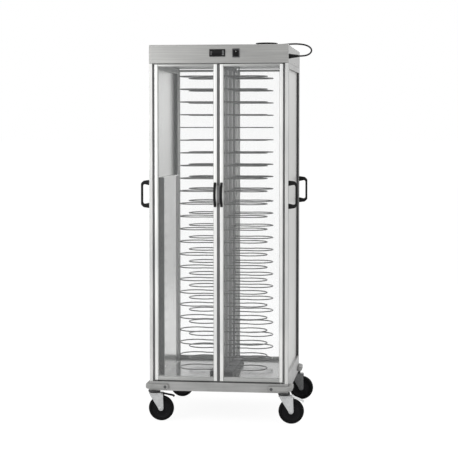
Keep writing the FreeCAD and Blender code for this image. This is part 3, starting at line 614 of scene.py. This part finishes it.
def fork():
    """A pressed fork: rounded top plate, two legs, swivel dome and the axle bolt."""

    def at(x, y, z):
        return mm(x - CASTER, y - CASTER, z)

    arc = [math.pi * i / 8 for i in range(1, 8)]
    leg = list(FORK_TOP) + [(TRAIL + FORK_TOE, AXLE_Z)]
    leg += [(TRAIL + FORK_TOE * math.cos(a), AXLE_Z - FORK_TOE * math.sin(a)) for a in arc]
    leg += [(TRAIL - FORK_TOE, AXLE_Z)]
    pieces = [slab("leg", [at(x, y, z) for x, z in leg], Y * (FORK_SHEET / 1000), ease=0.9)
              for y in (-FORK_OUT, FORK_OUT - FORK_SHEET)]
    pieces.append(block("bridge", (BRIDGE_X[0] - CASTER, BRIDGE_X[1] - CASTER),
                        (-FORK_OUT - CASTER, FORK_OUT - CASTER), BRIDGE_Z, ease=1.8, segments=3))
    pieces.append(turned("swivel_dome", DOME_PROFILE, at(0, 0, 0), Z, steps=40))
    for side in (-1, 1):
        face = at(TRAIL, side * FORK_OUT, AXLE_Z)
        pieces.append(turned("axle_nut", AXLE_NUT_PROFILE, face, Y * side, steps=6))
    pieces.append(turned("axle_end", AXLE_PROFILE, at(TRAIL, 0, AXLE_Z), Y, steps=24))
    return joined("fork", pieces)


def pedal(side):
    """A pressed brake pedal with a turned-down toe and a ribbed tread."""
    slope = math.radians(PEDAL_SLOPE[side])
    pin_x = PEDAL_X + CASTER * SIDES[side]

    def at(x, y, z):
        return mm(pin_x + x * math.cos(slope) + z * math.sin(slope), y - CASTER,
                  PEDAL_Z - x * math.sin(slope) + z * math.cos(slope))

    tread = [at(x, -TREAD_HALF, z) for x, z in PEDAL_OUTLINE]
    pieces = [slab("tread", tread, Y * (TREAD_HALF / 500), ease=0.8)]
    for start in TREAD_RIBS_AT:
        rib = [at(start + x, -TREAD_RIB_HALF, z) for x, z in TREAD_RIB]
        pieces.append(slab("rib", rib, Y * (TREAD_RIB_HALF / 500), ease=0.4))
    pieces.append(turned("pedal_pin", PEDAL_PIN_PROFILE, at(0, 0, 0), Y, steps=20))
    return joined("brake_pedal", pieces)


def casters():
    """Swivel heads on the cart, a fork and a wheel at every corner and the two front pedals."""
    spot = mm(-CASTER, -CASTER, 0)
    head = joined("head", [turned("head", HEAD_PROFILE, spot, Z, steps=40),
                           turned("king_nut", KING_NUT_PROFILE, spot, Z, steps=6)])
    # The swivel plates take a dark copy of the zinc: painted shade under the base
    fit(four("caster_swivel_plates", head), "cart", "zinc_plated_steel", SWIVEL_PAINTED_SHADE, "caster_heads")
    first_wheel, hub = wheel()
    first_fork = fork()
    for end, side in CORNERS:
        place = "%s_%s" % (end, side)
        move = Vector((2 * CASTER if side == "right" else 0, 2 * CASTER if end == "rear" else 0, 0))
        tyre = copied(first_wheel, "wheel_tyre_" + place, move)
        fit(tyre, "roller_" + place, "wheel_rubber", TYRE, "wheel_" + place)
        core_of(tyre, hub + move / 1000)
        yoke = copied(first_fork, "wheel_fork_" + place, move)
        # Rear forks take a darker copy of the zinc: painted shade
        plating = ZINC if end == "front" else ZINC_PAINTED_SHADE
        fit(yoke, "caster_" + place, "zinc_plated_steel", plating, "fork_" + place)
    for side, finish_used, slot in (("left", BLACK, "black_plastic"), ("right", ZINC, "zinc_plated_steel")):
        plate = fit(pedal(side), "pedal_" + side, slot, finish_used, "brake_pedal_" + side)
        plate.name = "pedal_plate_" + side
    bpy.data.objects.remove(first_wheel)
    bpy.data.objects.remove(first_fork)


# Bumpers, top box and screws

BUMPER_END = 247.0           # where an arm of a bumper ends
BUMPER_OUT = 363.0
BUMPER_R = 30.0
BUMPER_Z = (161.0, 186.0)
CAP_PROFILE = ((0, -0.5), (7.5, -0.5), (7.5, 0.5), (6.6, 1.2), (4, 1.5), (0, 1.6))
CAP_FROM_MIDDLE = 262.0
CAP_Z = 173.5
COVER_Z = (1761.0, 1850.0)
TOP_FOLD = 6.0
CORNER_FOLD = 1.5
CORNER_RISE = 0.05           # metres of rise that tell a corner's edge from the others
SCREW_PROFILE = ((0, -0.3), (3.6, -0.3), (3.6, 0.5), (2.8, 1.5), (1.2, 1.9), (0.9, 1.2), (0, 1.2))
SCREW_ROW = (-230, 0, 230)
COVER_SCREW_Z = 1772
RAIL_SCREW_Z = (216, 1747)
HEATER_IN = 289.0            # inner faces of the heater boxes
HEATER_SCREW_Y = (-203, 203)
HEATER_SCREW_Z = (250, 700, 1185)


def bumpers():
    """Rubber corners with a full round nose, and a domed cap over each screw."""
    bend = BUMPER_OUT - BUMPER_R
    arc = [math.pi / 2 * i / 6 for i in range(7)]
    plan = [(BUMPER_END, HALF), (BUMPER_END, BUMPER_OUT)]
    plan += [(bend + BUMPER_R * math.sin(a), bend + BUMPER_R * math.cos(a)) for a in arc]
    plan += [(BUMPER_OUT, BUMPER_END), (HALF, BUMPER_END), (HALF, HALF)]
    height = (BUMPER_Z[1] - BUMPER_Z[0]) / 1000
    nose = slab("nose", [mm(-x, -y, BUMPER_Z[0]) for x, y in plan], Z * height, ease=6.5, segments=4)
    fit(four("rubber_bumpers", nose), "cart", "grey_rubber", BUMPER, "corner_bumpers")
    caps = [turned("cap", CAP_PROFILE, mm(-CAP_FROM_MIDDLE, -BUMPER_OUT, CAP_Z), -Y, steps=24),
            turned("cap", CAP_PROFILE, mm(-BUMPER_OUT, -CAP_FROM_MIDDLE, CAP_Z), -X, steps=24)]
    fit(four("bumper_caps", joined("caps", caps)), "cart", "black_plastic", SWITCH)


def top_box():
    """Folded sheet cover: soft top edges, tight folds at the corners."""
    box = block("box", (-HALF, HALF), (-HALF, HALF), COVER_Z, ease=0)
    pick(box, "EDGE", lambda middle, run: middle.z > (COVER_Z[1] - 1) / 1000)
    bpy.ops.mesh.bevel(offset=TOP_FOLD / 1000, segments=5)
    pick(box, "EDGE", lambda middle, run: abs(run.z) > CORNER_RISE)
    bpy.ops.mesh.bevel(offset=CORNER_FOLD / 1000, segments=2)
    fit(settle(box), "cart", "stainless_steel", BRUSHED_BOX, "top_cover").name = "folded_top_cover"


def screws():
    """Pan-head screws that hold cover, rails and heater boxes."""
    spots = []
    for side in (-1, 1):
        spots += [((side * HALF, y, z), X * side) for y in SCREW_ROW for z in (COVER_SCREW_Z,) + RAIL_SCREW_Z]
        spots += [((side * HEATER_IN, y, z), X * -side) for y in HEATER_SCREW_Y for z in HEATER_SCREW_Z]
    spots += [((x, HALF, COVER_SCREW_Z), Y) for x in SCREW_ROW]
    heads = [turned("screw", SCREW_PROFILE, mm(*at), way, steps=12) for at, way in spots]
    fit(joined("pan_head_screws", heads), "cart", "stainless_steel", ZINC)


# Doors: the front left one is made and mirrored to the other corners

DOOR_X = (-315.0, -7.0)
DOOR_Y = (-340.0, -318.0)
DOOR_Z = (204.0, 1755.0)
STILE = 15.0
MEETING_STILE = 16.0
RAIL_LOW = 17.0
RAIL_HIGH = 9.0
BEAD_WIDE = 2.5
BEAD_FACES = ((-332.6, -331.1), (-326.9, -325.4))
HANDLE_X = -22.0
HANDLE_WIDE = 12.0
HANDLE_Z = (1060.0, 1180.0)
HANDLE_GAP_Z = (1077.0, 1163.0)
HANDLE_FOOT = -340.0
HANDLE_EDGE = -343.0         # where the outer curve starts
HANDLE_TIP = -372.0
HANDLE_GAP_TIP = -363.0
BULGE_STEPS = 14
MEETING_X = (-7.0, 5.0)      # gap between the doors, filled by lip and latch
MEETING_IN = 322.0
LATCH_OUT = 340.0
LATCH_Z = (1080.0, 1165.0)
LOCK_PROFILE = ((0, 0), (4.2, 0), (4.2, 1.0), (3.6, 1.5), (1.4, 1.5), (1.2, 0.6), (0, 0.6))
LOCK_X = -1.0
LOCK_Z = 1122.0
LIP_OUT = 336.0


def bulge(y, tip, low, high):
    """Points on the arc from one height to another that swells out to the tip."""
    half = (high - low) / 2
    rise = y - tip
    radius = (half ** 2 + rise ** 2) / (2 * rise)
    reach = math.asin(half / radius)
    turns = [reach * (2 * i / BULGE_STEPS - 1) for i in range(BULGE_STEPS + 1)]
    return [(tip + radius * (1 - math.cos(a)), low + half + radius * math.sin(a)) for a in turns]


def door_bars():
    """Stiles, rails and glazing beads of one door."""
    stile_edge = DOOR_X[0] + STILE
    meeting_edge = DOOR_X[1] - MEETING_STILE
    low_rail = DOOR_Z[0] + RAIL_LOW
    high_rail = DOOR_Z[1] - RAIL_HIGH
    glass_x = (stile_edge, meeting_edge)
    glass_z = (low_rail, high_rail)
    stiles = [block("stile", x, DOOR_Y, DOOR_Z, ease=1.6, segments=3)
              for x in ((DOOR_X[0], stile_edge), (meeting_edge, DOOR_X[1]))]
    rails = [block("rail", glass_x, DOOR_Y, z, ease=1.0)
             for z in ((DOOR_Z[0], low_rail), (high_rail, DOOR_Z[1]))]
    beads = []
    for face in BEAD_FACES:
        beads += [block("bead", (x, x + BEAD_WIDE), face, glass_z, ease=0.4)
                  for x in (stile_edge, meeting_edge - BEAD_WIDE)]
        beads += [block("bead", glass_x, face, (z, z + BEAD_WIDE), ease=0.4)
                  for z in (low_rail, high_rail - BEAD_WIDE)]
    return joined("stiles", stiles), joined("rails", rails), joined("beads", beads)


def door_grip():
    """A bowed handle with room for the fingers behind it."""
    outline = bulge(HANDLE_EDGE, HANDLE_TIP, *HANDLE_Z) + [(HANDLE_FOOT, HANDLE_Z[1])]
    outline += bulge(HANDLE_FOOT, HANDLE_GAP_TIP, *HANDLE_GAP_Z)[::-1] + [(HANDLE_FOOT, HANDLE_Z[0])]
    return slab("grip", [mm(HANDLE_X, y, z) for y, z in outline], X * (HANDLE_WIDE / 1000),
                ease=2.6, segments=3)


def doors():
    """Four doors from one set of bars and one grip."""
    stiles, rails, beads = door_bars()
    grip = door_grip()
    for end, side in CORNERS:
        place = "%s_%s" % (end, side)
        mirror = mirror_to(end, side)
        body = "door_" + place
        fit(copied(stiles, "door_stiles_" + place, mirror=mirror), body, "anodised_aluminium", ANODISED,
            "door_frame_" + place)
        # The rails take the darker copy of the aluminium: painted shade
        fit(copied(rails, "door_rails_" + place, mirror=mirror), body, "anodised_aluminium", RAIL_PAINTED_SHADE)
        fit(copied(beads, "pane_beads_" + place, mirror=mirror), body, "seal_rubber", BEAD)
        fit(copied(grip, "bowed_handle_" + place, mirror=mirror), body, "black_plastic", BLACK,
            "door_handle_" + place)
    for piece in (stiles, rails, beads, grip):
        bpy.data.objects.remove(piece)


def meeting_pieces():
    """Latch block with its lock and the lips above and below it, on each left door."""
    for end, sign in ENDS.items():
        body = "door_%s_left" % end
        latch = block("latch", MEETING_X, spread(sign, LATCH_OUT, MEETING_IN), LATCH_Z, ease=1.5)
        lock = turned("lock", LOCK_PROFILE, mm(LOCK_X, sign * LATCH_OUT, LOCK_Z), Y * sign, steps=24)
        fit(joined("latch_block_" + end, [latch, lock]), body, "latch_plastic", LATCH, "door_latch_" + end)
        lips = [block("lip", MEETING_X, spread(sign, LIP_OUT, MEETING_IN), span, ease=3.0, segments=3)
                for span in ((DOOR_Z[0], LATCH_Z[0]), (LATCH_Z[1], DOOR_Z[1]))]
        # The meeting lips take a darker copy of the rubber: painted shade
        fit(joined("meeting_lip_" + end, lips), body, "seal_rubber", LIP_PAINTED_SHADE, "meeting_seal_" + end)


# Posts, side handles and side walls

GRIP_OUTSIDE = ((HALF, 1191), (372.5, 1187), (385.5, 1174))
GRIP_INSIDE = ((375.5, 1164), (369.5, 1170), (HALF, 1164))
GRIP_MIDDLE_Z = 1121.5
GRIP_Y = -333.0
GRIP_WIDE = 16.0
POST_PLAN = ((HALF, HALF), (326, HALF), (326, 315), (308, 315), (308, 308), (HALF, 308))
PANEL_X = (327.0, 329.0)
PANEL_Y = 312.9
PANEL_Z = (231.1, 1738.9)
HEATER_END_X = (290.0, 326.0)
HEATER_END_Y = (215.0, 215.5)
HEATER_END_Z = (209.0, 1198.0)
LOUVRE_X = (296.0, 320.0)
LOUVRE_Y = (215.3, 215.8)
LOUVRE_Z = range(260, 1180, 45)
LOUVRE_TALL = 6.0
STRIP_X = (288.6, 289.2)
STRIP_Y = (140.0, 213.0)
STRIP_Z = (212.0, 1195.0)
SIDEWAYS = 0.9               # share of a normal along x from which a face looks sideways


def side_grips():
    """Bridge handles on the posts, with soft edges all round."""
    below = [(x, 2 * GRIP_MIDDLE_Z - z) for x, z in reversed(GRIP_OUTSIDE)]
    inside_below = [(x, 2 * GRIP_MIDDLE_Z - z) for x, z in reversed(GRIP_INSIDE)]
    outline = list(GRIP_OUTSIDE) + below + inside_below + list(GRIP_INSIDE)
    grip = slab("grip", [mm(-x, GRIP_Y, z) for x, z in outline], Y * (GRIP_WIDE / 1000),
                ease=3.4, segments=3)
    fit(four("bridge_handles", grip), "cart", "black_plastic", BLACK, "side_handles")


def posts():
    """Corner profiles with eased edges and a lip beside the doors; the outer flanks are painted darker, as
    painted shade.
    """
    low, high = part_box("corner_posts")
    post = slab("post", [mm(-x, -y, low[2] * 1000) for x, y in POST_PLAN], Z * (high[2] - low[2]), ease=1.2)
    profiles = fit(four("corner_profiles", post), "cart", "anodised_aluminium", POST, "corner_posts")
    # Faces that look out sideways take the darker copy of the aluminium: painted shade
    profiles.data.materials.append(FLANK_PAINTED_SHADE)
    for face in profiles.data.polygons:
        if abs(face.normal.x) > SIDEWAYS and abs(face.center.x * 1000 - MIDDLE_X) > HALF - 1:
            face.material_index = 1


def side_walls():
    """Panels with an inner face painted brighter as painted light, and the vented ends and rear strip of the
    heater boxes painted dark as painted shade.
    """
    for side, sign in SIDES.items():
        panel = block("side_panel_" + side, spread(sign, *PANEL_X), (-PANEL_Y, PANEL_Y), PANEL_Z, ease=0)
        fit(panel, "cart", "stainless_steel", PANEL, *(["side_panels"] if side == "left" else []))
        # Faces towards the inside take the brighter copy of the sheet: painted light
        panel.data.materials.append(PANEL_IN_PAINTED_LIGHT)
        for face in panel.data.polygons:
            if face.normal.x * sign < -SIDEWAYS:
                face.material_index = 1
        plates = []
        for end in ENDS.values():
            plates.append(block("plate", spread(sign, *HEATER_END_X), spread(end, *HEATER_END_Y),
                                HEATER_END_Z, ease=0.2, segments=1))
            for z in LOUVRE_Z:
                plates.append(block("lip", spread(sign, *LOUVRE_X), spread(end, *LOUVRE_Y),
                                    (z, z + LOUVRE_TALL), ease=0.2, segments=1))
        plates.append(block("strip", spread(sign, *STRIP_X), STRIP_Y, STRIP_Z, ease=0.2, segments=1))
        # Vented ends and rear strip take a dark copy of the sheet: painted shade
        fit(joined("heater_ends_" + side, plates), "cart", "stainless_steel", VENT_PAINTED_SHADE)


# Plate rack

LEVELS = 24
LEVEL_LOW = 241.5
LEVEL_PITCH = 63.5
BOW_AT = (-138.0, -150.0)    # middle of the front left bow
BOW_R = 82.0
BOW_LEGS = 69.0              # the legs from the bow's middle, both ways
BOW_ROOT = -15.0             # where the legs meet the uprights
BOW_WIRE_R = 3.0
ARC_STEPS = 16
SOCKET_X = (-20.0, -15.0)
SOCKET_HALF_Y = 6.0
SOCKET_HALF_Z = 5.0


def stacked(piece):
    """The piece at every level of the rack."""
    only(piece)
    stack = piece.modifiers.new("levels", "ARRAY")
    stack.count = LEVELS
    stack.use_relative_offset = False
    stack.use_constant_offset = True
    stack.constant_offset_displace = (0, 0, LEVEL_PITCH / 1000)
    bpy.ops.object.modifier_apply(modifier=stack.name)
    return piece


def plate_rack():
    """Bent-wire bows in sockets on the uprights, one above the other."""
    start = math.asin(BOW_LEGS / BOW_R)
    turns = [start + (2 * math.pi - 2 * start) * i / ARC_STEPS for i in range(ARC_STEPS + 1)]
    roots = (BOW_AT[1] + BOW_LEGS, BOW_AT[1] - BOW_LEGS)
    points = [mm(BOW_ROOT, roots[0], LEVEL_LOW)]
    points += [mm(BOW_AT[0] + BOW_R * math.cos(a), BOW_AT[1] + BOW_R * math.sin(a), LEVEL_LOW) for a in turns]
    points += [mm(BOW_ROOT, roots[1], LEVEL_LOW)]
    wires = stacked(wire("bow", points, BOW_WIRE_R, sides=1))
    wires = joined("bows", [wires, copied(wires, "bows", mirror=(1, -1, 1))])
    socket_z = (LEVEL_LOW - SOCKET_HALF_Z, LEVEL_LOW + SOCKET_HALF_Z)
    sockets = [block("socket", SOCKET_X, (y - SOCKET_HALF_Y, y + SOCKET_HALF_Y), socket_z,
                     ease=1.2, segments=1) for y in (roots[1], roots[0], -roots[0], -roots[1])]
    sockets = stacked(joined("sockets", sockets))
    for side, sign in SIDES.items():
        mirror = (-sign, 1, 1)
        # Bows and sockets take the dark copies of the steel: painted shade
        fit(copied(wires, "wire_bows_" + side, mirror=mirror), "cart", "stainless_steel", WIRE_PAINTED_SHADE,
            "plate_rings_" + side)
        fit(copied(sockets, "bow_sockets_" + side, mirror=mirror), "cart", "stainless_steel", RACK_PAINTED_SHADE)
    bpy.data.objects.remove(wires)
    bpy.data.objects.remove(sockets)


# Controls on the front of the top box

CONTROL_BACK = -342.0
BEZEL_X = (-43.5, 34.0)
BEZEL_Z = (1791.0, 1827.0)
BEZEL_FACE = -346.0
WINDOW_X = (-38.0, 14.0)
WINDOW_Y = (-346.2, -345.0)
WINDOW_Z = (1797.0, 1821.0)
KEYS = (("key_down", 1801), ("key_set", 1809), ("key_up", 1817))
KEY_X = (19.5, 28.5)
KEY_Y = (-347.2, -340.0)
KEY_HALF_Z = 3.0
SURROUND_X = (69.0, 104.0)
SURROUND_Z = (1787.0, 1830.0)
SURROUND_FACE = -347.0
ROCKER_PIN = (86.5, -338.0, 1808.5)
ROCKER_TILT = 8.0
ROCKER_OUTLINE = ((-9, -15), (-9.9, -8), (-10.4, 0), (-9.9, 8), (-9, 15), (2, 15), (8, 5), (8, -5), (2, -15))
ROCKER_HALF = 12.3
MARK_OUTLINE = ((-0.8, 6.5), (-0.8, 11), (0.8, 11), (0.8, 6.5))
MARK_FACE = -9.75
MARK_PROUD = 0.4


def sunk_face(piece, face_y, border, depth):
    """Presses the middle of a front face in, inside a border."""
    pick(piece, "FACE", lambda middle, normal: normal.y < -0.99 and middle.y < (face_y + 0.5) / 1000)
    bpy.ops.mesh.inset(thickness=border / 1000)
    bpy.ops.transform.translate(value=(0, depth / 1000, 0))
    return settle(piece)


def thermostat():
    """A bezel with a sunk face, its smoked window and three keys."""
    bezel = block("bezel", BEZEL_X, (BEZEL_FACE, CONTROL_BACK), BEZEL_Z, ease=1.4, segments=3)
    sunk_face(bezel, BEZEL_FACE, border=2.2, depth=0.6)
    fit(bezel, "cart", "black_plastic", BLACK, "thermostat").name = "thermostat_bezel"
    window = block("window", WINDOW_X, WINDOW_Y, WINDOW_Z, ease=0.4)
    fit(window, "cart", "black_plastic", SMOKED).name = "display_window"
    for name, z in KEYS:
        cap = block("key", KEY_X, KEY_Y, (z - KEY_HALF_Z, z + KEY_HALF_Z), ease=0.9, segments=3)
        fit(cap, name + "_button", "key_plastic", KEYGREY, name).name = "push_" + name


def rocker_switch():
    """A surround with a sunk face and a rocker with its line mark."""
    surround = block("surround", SURROUND_X, (SURROUND_FACE, CONTROL_BACK), SURROUND_Z, ease=1.8, segments=3)
    sunk_face(surround, SURROUND_FACE, border=3.0, depth=3.0)
    fit(surround, "cart", "switch_plastic", SWITCH, "switch_frame").name = "switch_surround"
    tilt = math.radians(ROCKER_TILT)
    pin_x, pin_y, pin_z = ROCKER_PIN

    def at(x, y, z):
        """A point of the rocker, tilted about its pin."""
        return mm(pin_x + x, pin_y + y * math.cos(tilt) - z * math.sin(tilt),
                  pin_z + y * math.sin(tilt) + z * math.cos(tilt))

    key = slab("key", [at(-ROCKER_HALF, y, z) for y, z in ROCKER_OUTLINE], X * (ROCKER_HALF / 500), ease=0.8)
    mark = slab("mark", [at(x, MARK_FACE, z) for x, z in MARK_OUTLINE], -Y * (MARK_PROUD / 1000), ease=0)
    fit(key, "rocker", "rocker_plastic", GLOSSY, "switch_rocker").name = "rocker_key"
    fit(mark, "rocker", "rocker_plastic", MARK).name = "rocker_mark"


# What is on the cord

GLAND = (HALF, -310.0, 1793.0)
GLAND_NUT_PROFILE = ((0, 0), (11.4, 0), (12, 0.6), (12, 7), (10.4, 8.6), (9.6, 10), (0, 10))
RELIEF_START = (0, 9.5)
RELIEF_RIBS = 12
RELIEF_RIB = ((0, 10), (0, 11.9), (-0.9, 12.1), (-0.9, 12.9))    # the first rib and its groove
RELIEF_PITCH = 3.0
RELIEF_R = 10.4              # first rib
RELIEF_TAPER = 4.6           # the last rib is this much smaller
RELIEF_TIP = ((5.4, 46), (0, 46))
STRAP_HALF = 5.0
STRAP_SHEET = 1.2
STRAP_Y = (36.2, 58.6)       # the bundle of turns behind the coil's middle
STRAP_Z = ((1850.8, 1852.0), (1869.4, 1870.5))
PLUG_HALF = ((5.5, 0), (7, 8), (10, 15), (18, 22), (20, 27), (20, 50), (18.5, 52))
PLUG_FACE = 52.0
PLUG_THICK = 18.6
RIDGES_Y = (30, 35, 40)
RIDGE_HALF_X = 14.0
RIDGE_HALF_Z = 9.5
PIN_PROFILE = ((0, -0.5), (2.5, -0.5), (2.5, 16.5), (1.9, 18.4), (0.9, 19), (0, 19))
PIN_PITCH = 13.0


def gland_and_relief():
    """A six-sided nut and a tapering sleeve of ribs where the lead leaves the box."""
    gland = mm(*GLAND)
    fit(turned("gland_nut", GLAND_NUT_PROFILE, gland, X, steps=6), "cart", "switch_plastic", BLACK,
        "cable_gland")
    profile = [RELIEF_START]
    for i in range(RELIEF_RIBS):
        radius = RELIEF_R - RELIEF_TAPER * i / (RELIEF_RIBS - 1)
        profile += [(radius + r, t + RELIEF_PITCH * i) for r, t in RELIEF_RIB]
    profile += RELIEF_TIP
    fit(turned("ribbed_strain_relief", profile, gland, X, steps=32), "cart", "cord_rubber", CORD,
        "strain_relief")


def coil_strap():
    """A flat strap round the turns at the back of the coil."""
    low, high = COIL.y + STRAP_Y[0], COIL.y + STRAP_Y[1]
    x = (COIL.x - STRAP_HALF, COIL.x + STRAP_HALF)
    tall = (STRAP_Z[0][0], STRAP_Z[1][1])
    strap = [block("strap", x, (low - STRAP_SHEET, high + STRAP_SHEET), z, ease=0.4) for z in STRAP_Z]
    strap += [block("strap", x, y, tall, ease=0.4)
              for y in ((low - STRAP_SHEET, low), (high, high + STRAP_SHEET))]
    fit(joined("coil_strap", strap), "cart", "cord_rubber", CORD, "coil_tie")


def mains_plug():
    """A flat plug with finger ridges and three round pins in a row."""
    entry = Vector(TAIL[-1])
    plan = list(PLUG_HALF) + [(-x, y) for x, y in reversed(PLUG_HALF)]
    body = slab("plug_body", [mm(entry.x + x, entry.y + y, entry.z - PLUG_THICK / 2) for x, y in plan],
                Z * (PLUG_THICK / 1000), ease=3.0, segments=3)
    ridge_x = (entry.x - RIDGE_HALF_X, entry.x + RIDGE_HALF_X)
    ridge_z = (entry.z - RIDGE_HALF_Z, entry.z + RIDGE_HALF_Z)
    ridges = [block("ridge", ridge_x, (entry.y + y, entry.y + y + 2), ridge_z, ease=0.5) for y in RIDGES_Y]
    plug = fit(joined("mains_plug", [body] + ridges), "cart", "cord_rubber", CORD, "plug")
    pins = [turned("pin", PIN_PROFILE, mm(entry.x + PIN_PITCH * i, entry.y + PLUG_FACE, entry.z), Y, steps=24)
            for i in (-1, 0, 1)]
    pins = fit(joined("mains_pins", pins), "cart", "pin_brass", PLATED, "plug_pins")
    return plug, pins


def dress(finish_used, *nodes):
    """Gives plain solids of the frame their finish."""
    for node in nodes:
        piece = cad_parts[node]
        piece.data.materials.clear()
        piece.data.materials.append(finish_used)


studio_world()
studio_floor()
studio_lamps()
camera()
casters()
bumpers()
top_box()
screws()
doors()
meeting_pieces()
side_grips()
posts()
side_walls()
plate_rack()
thermostat()
rocker_switch()
gland_and_relief()
coil_strap()
plug, pins = mains_plug()
cord = mains_cord()

# The ceiling sheet is painted darker: painted shade
dress(CEILING_PAINTED_SHADE, "ceiling_panel")
dress(BRUSHED_BASE, "base_frame", "side_rails")
dress(HEATER, "heater_covers", "heater_elements")
dress(TRAY, "floor_pan")
# Uprights, pins and probe take the dark copy of the steel: painted shade
dress(RACK_PAINTED_SHADE, "rack_uprights", "hinge_pins", "temperature_probe")
dress(CHANNEL, "rack_channels")
dress(PANE, *["door_pane_%s_%s" % corner for corner in CORNERS])
# Door seals take a lighter copy of the rubber as painted light; panel gaskets a darker one as painted shade
dress(SEAL_PAINTED_LIGHT, "door_seals")
dress(GASKET_PAINTED_SHADE, "panel_gaskets")
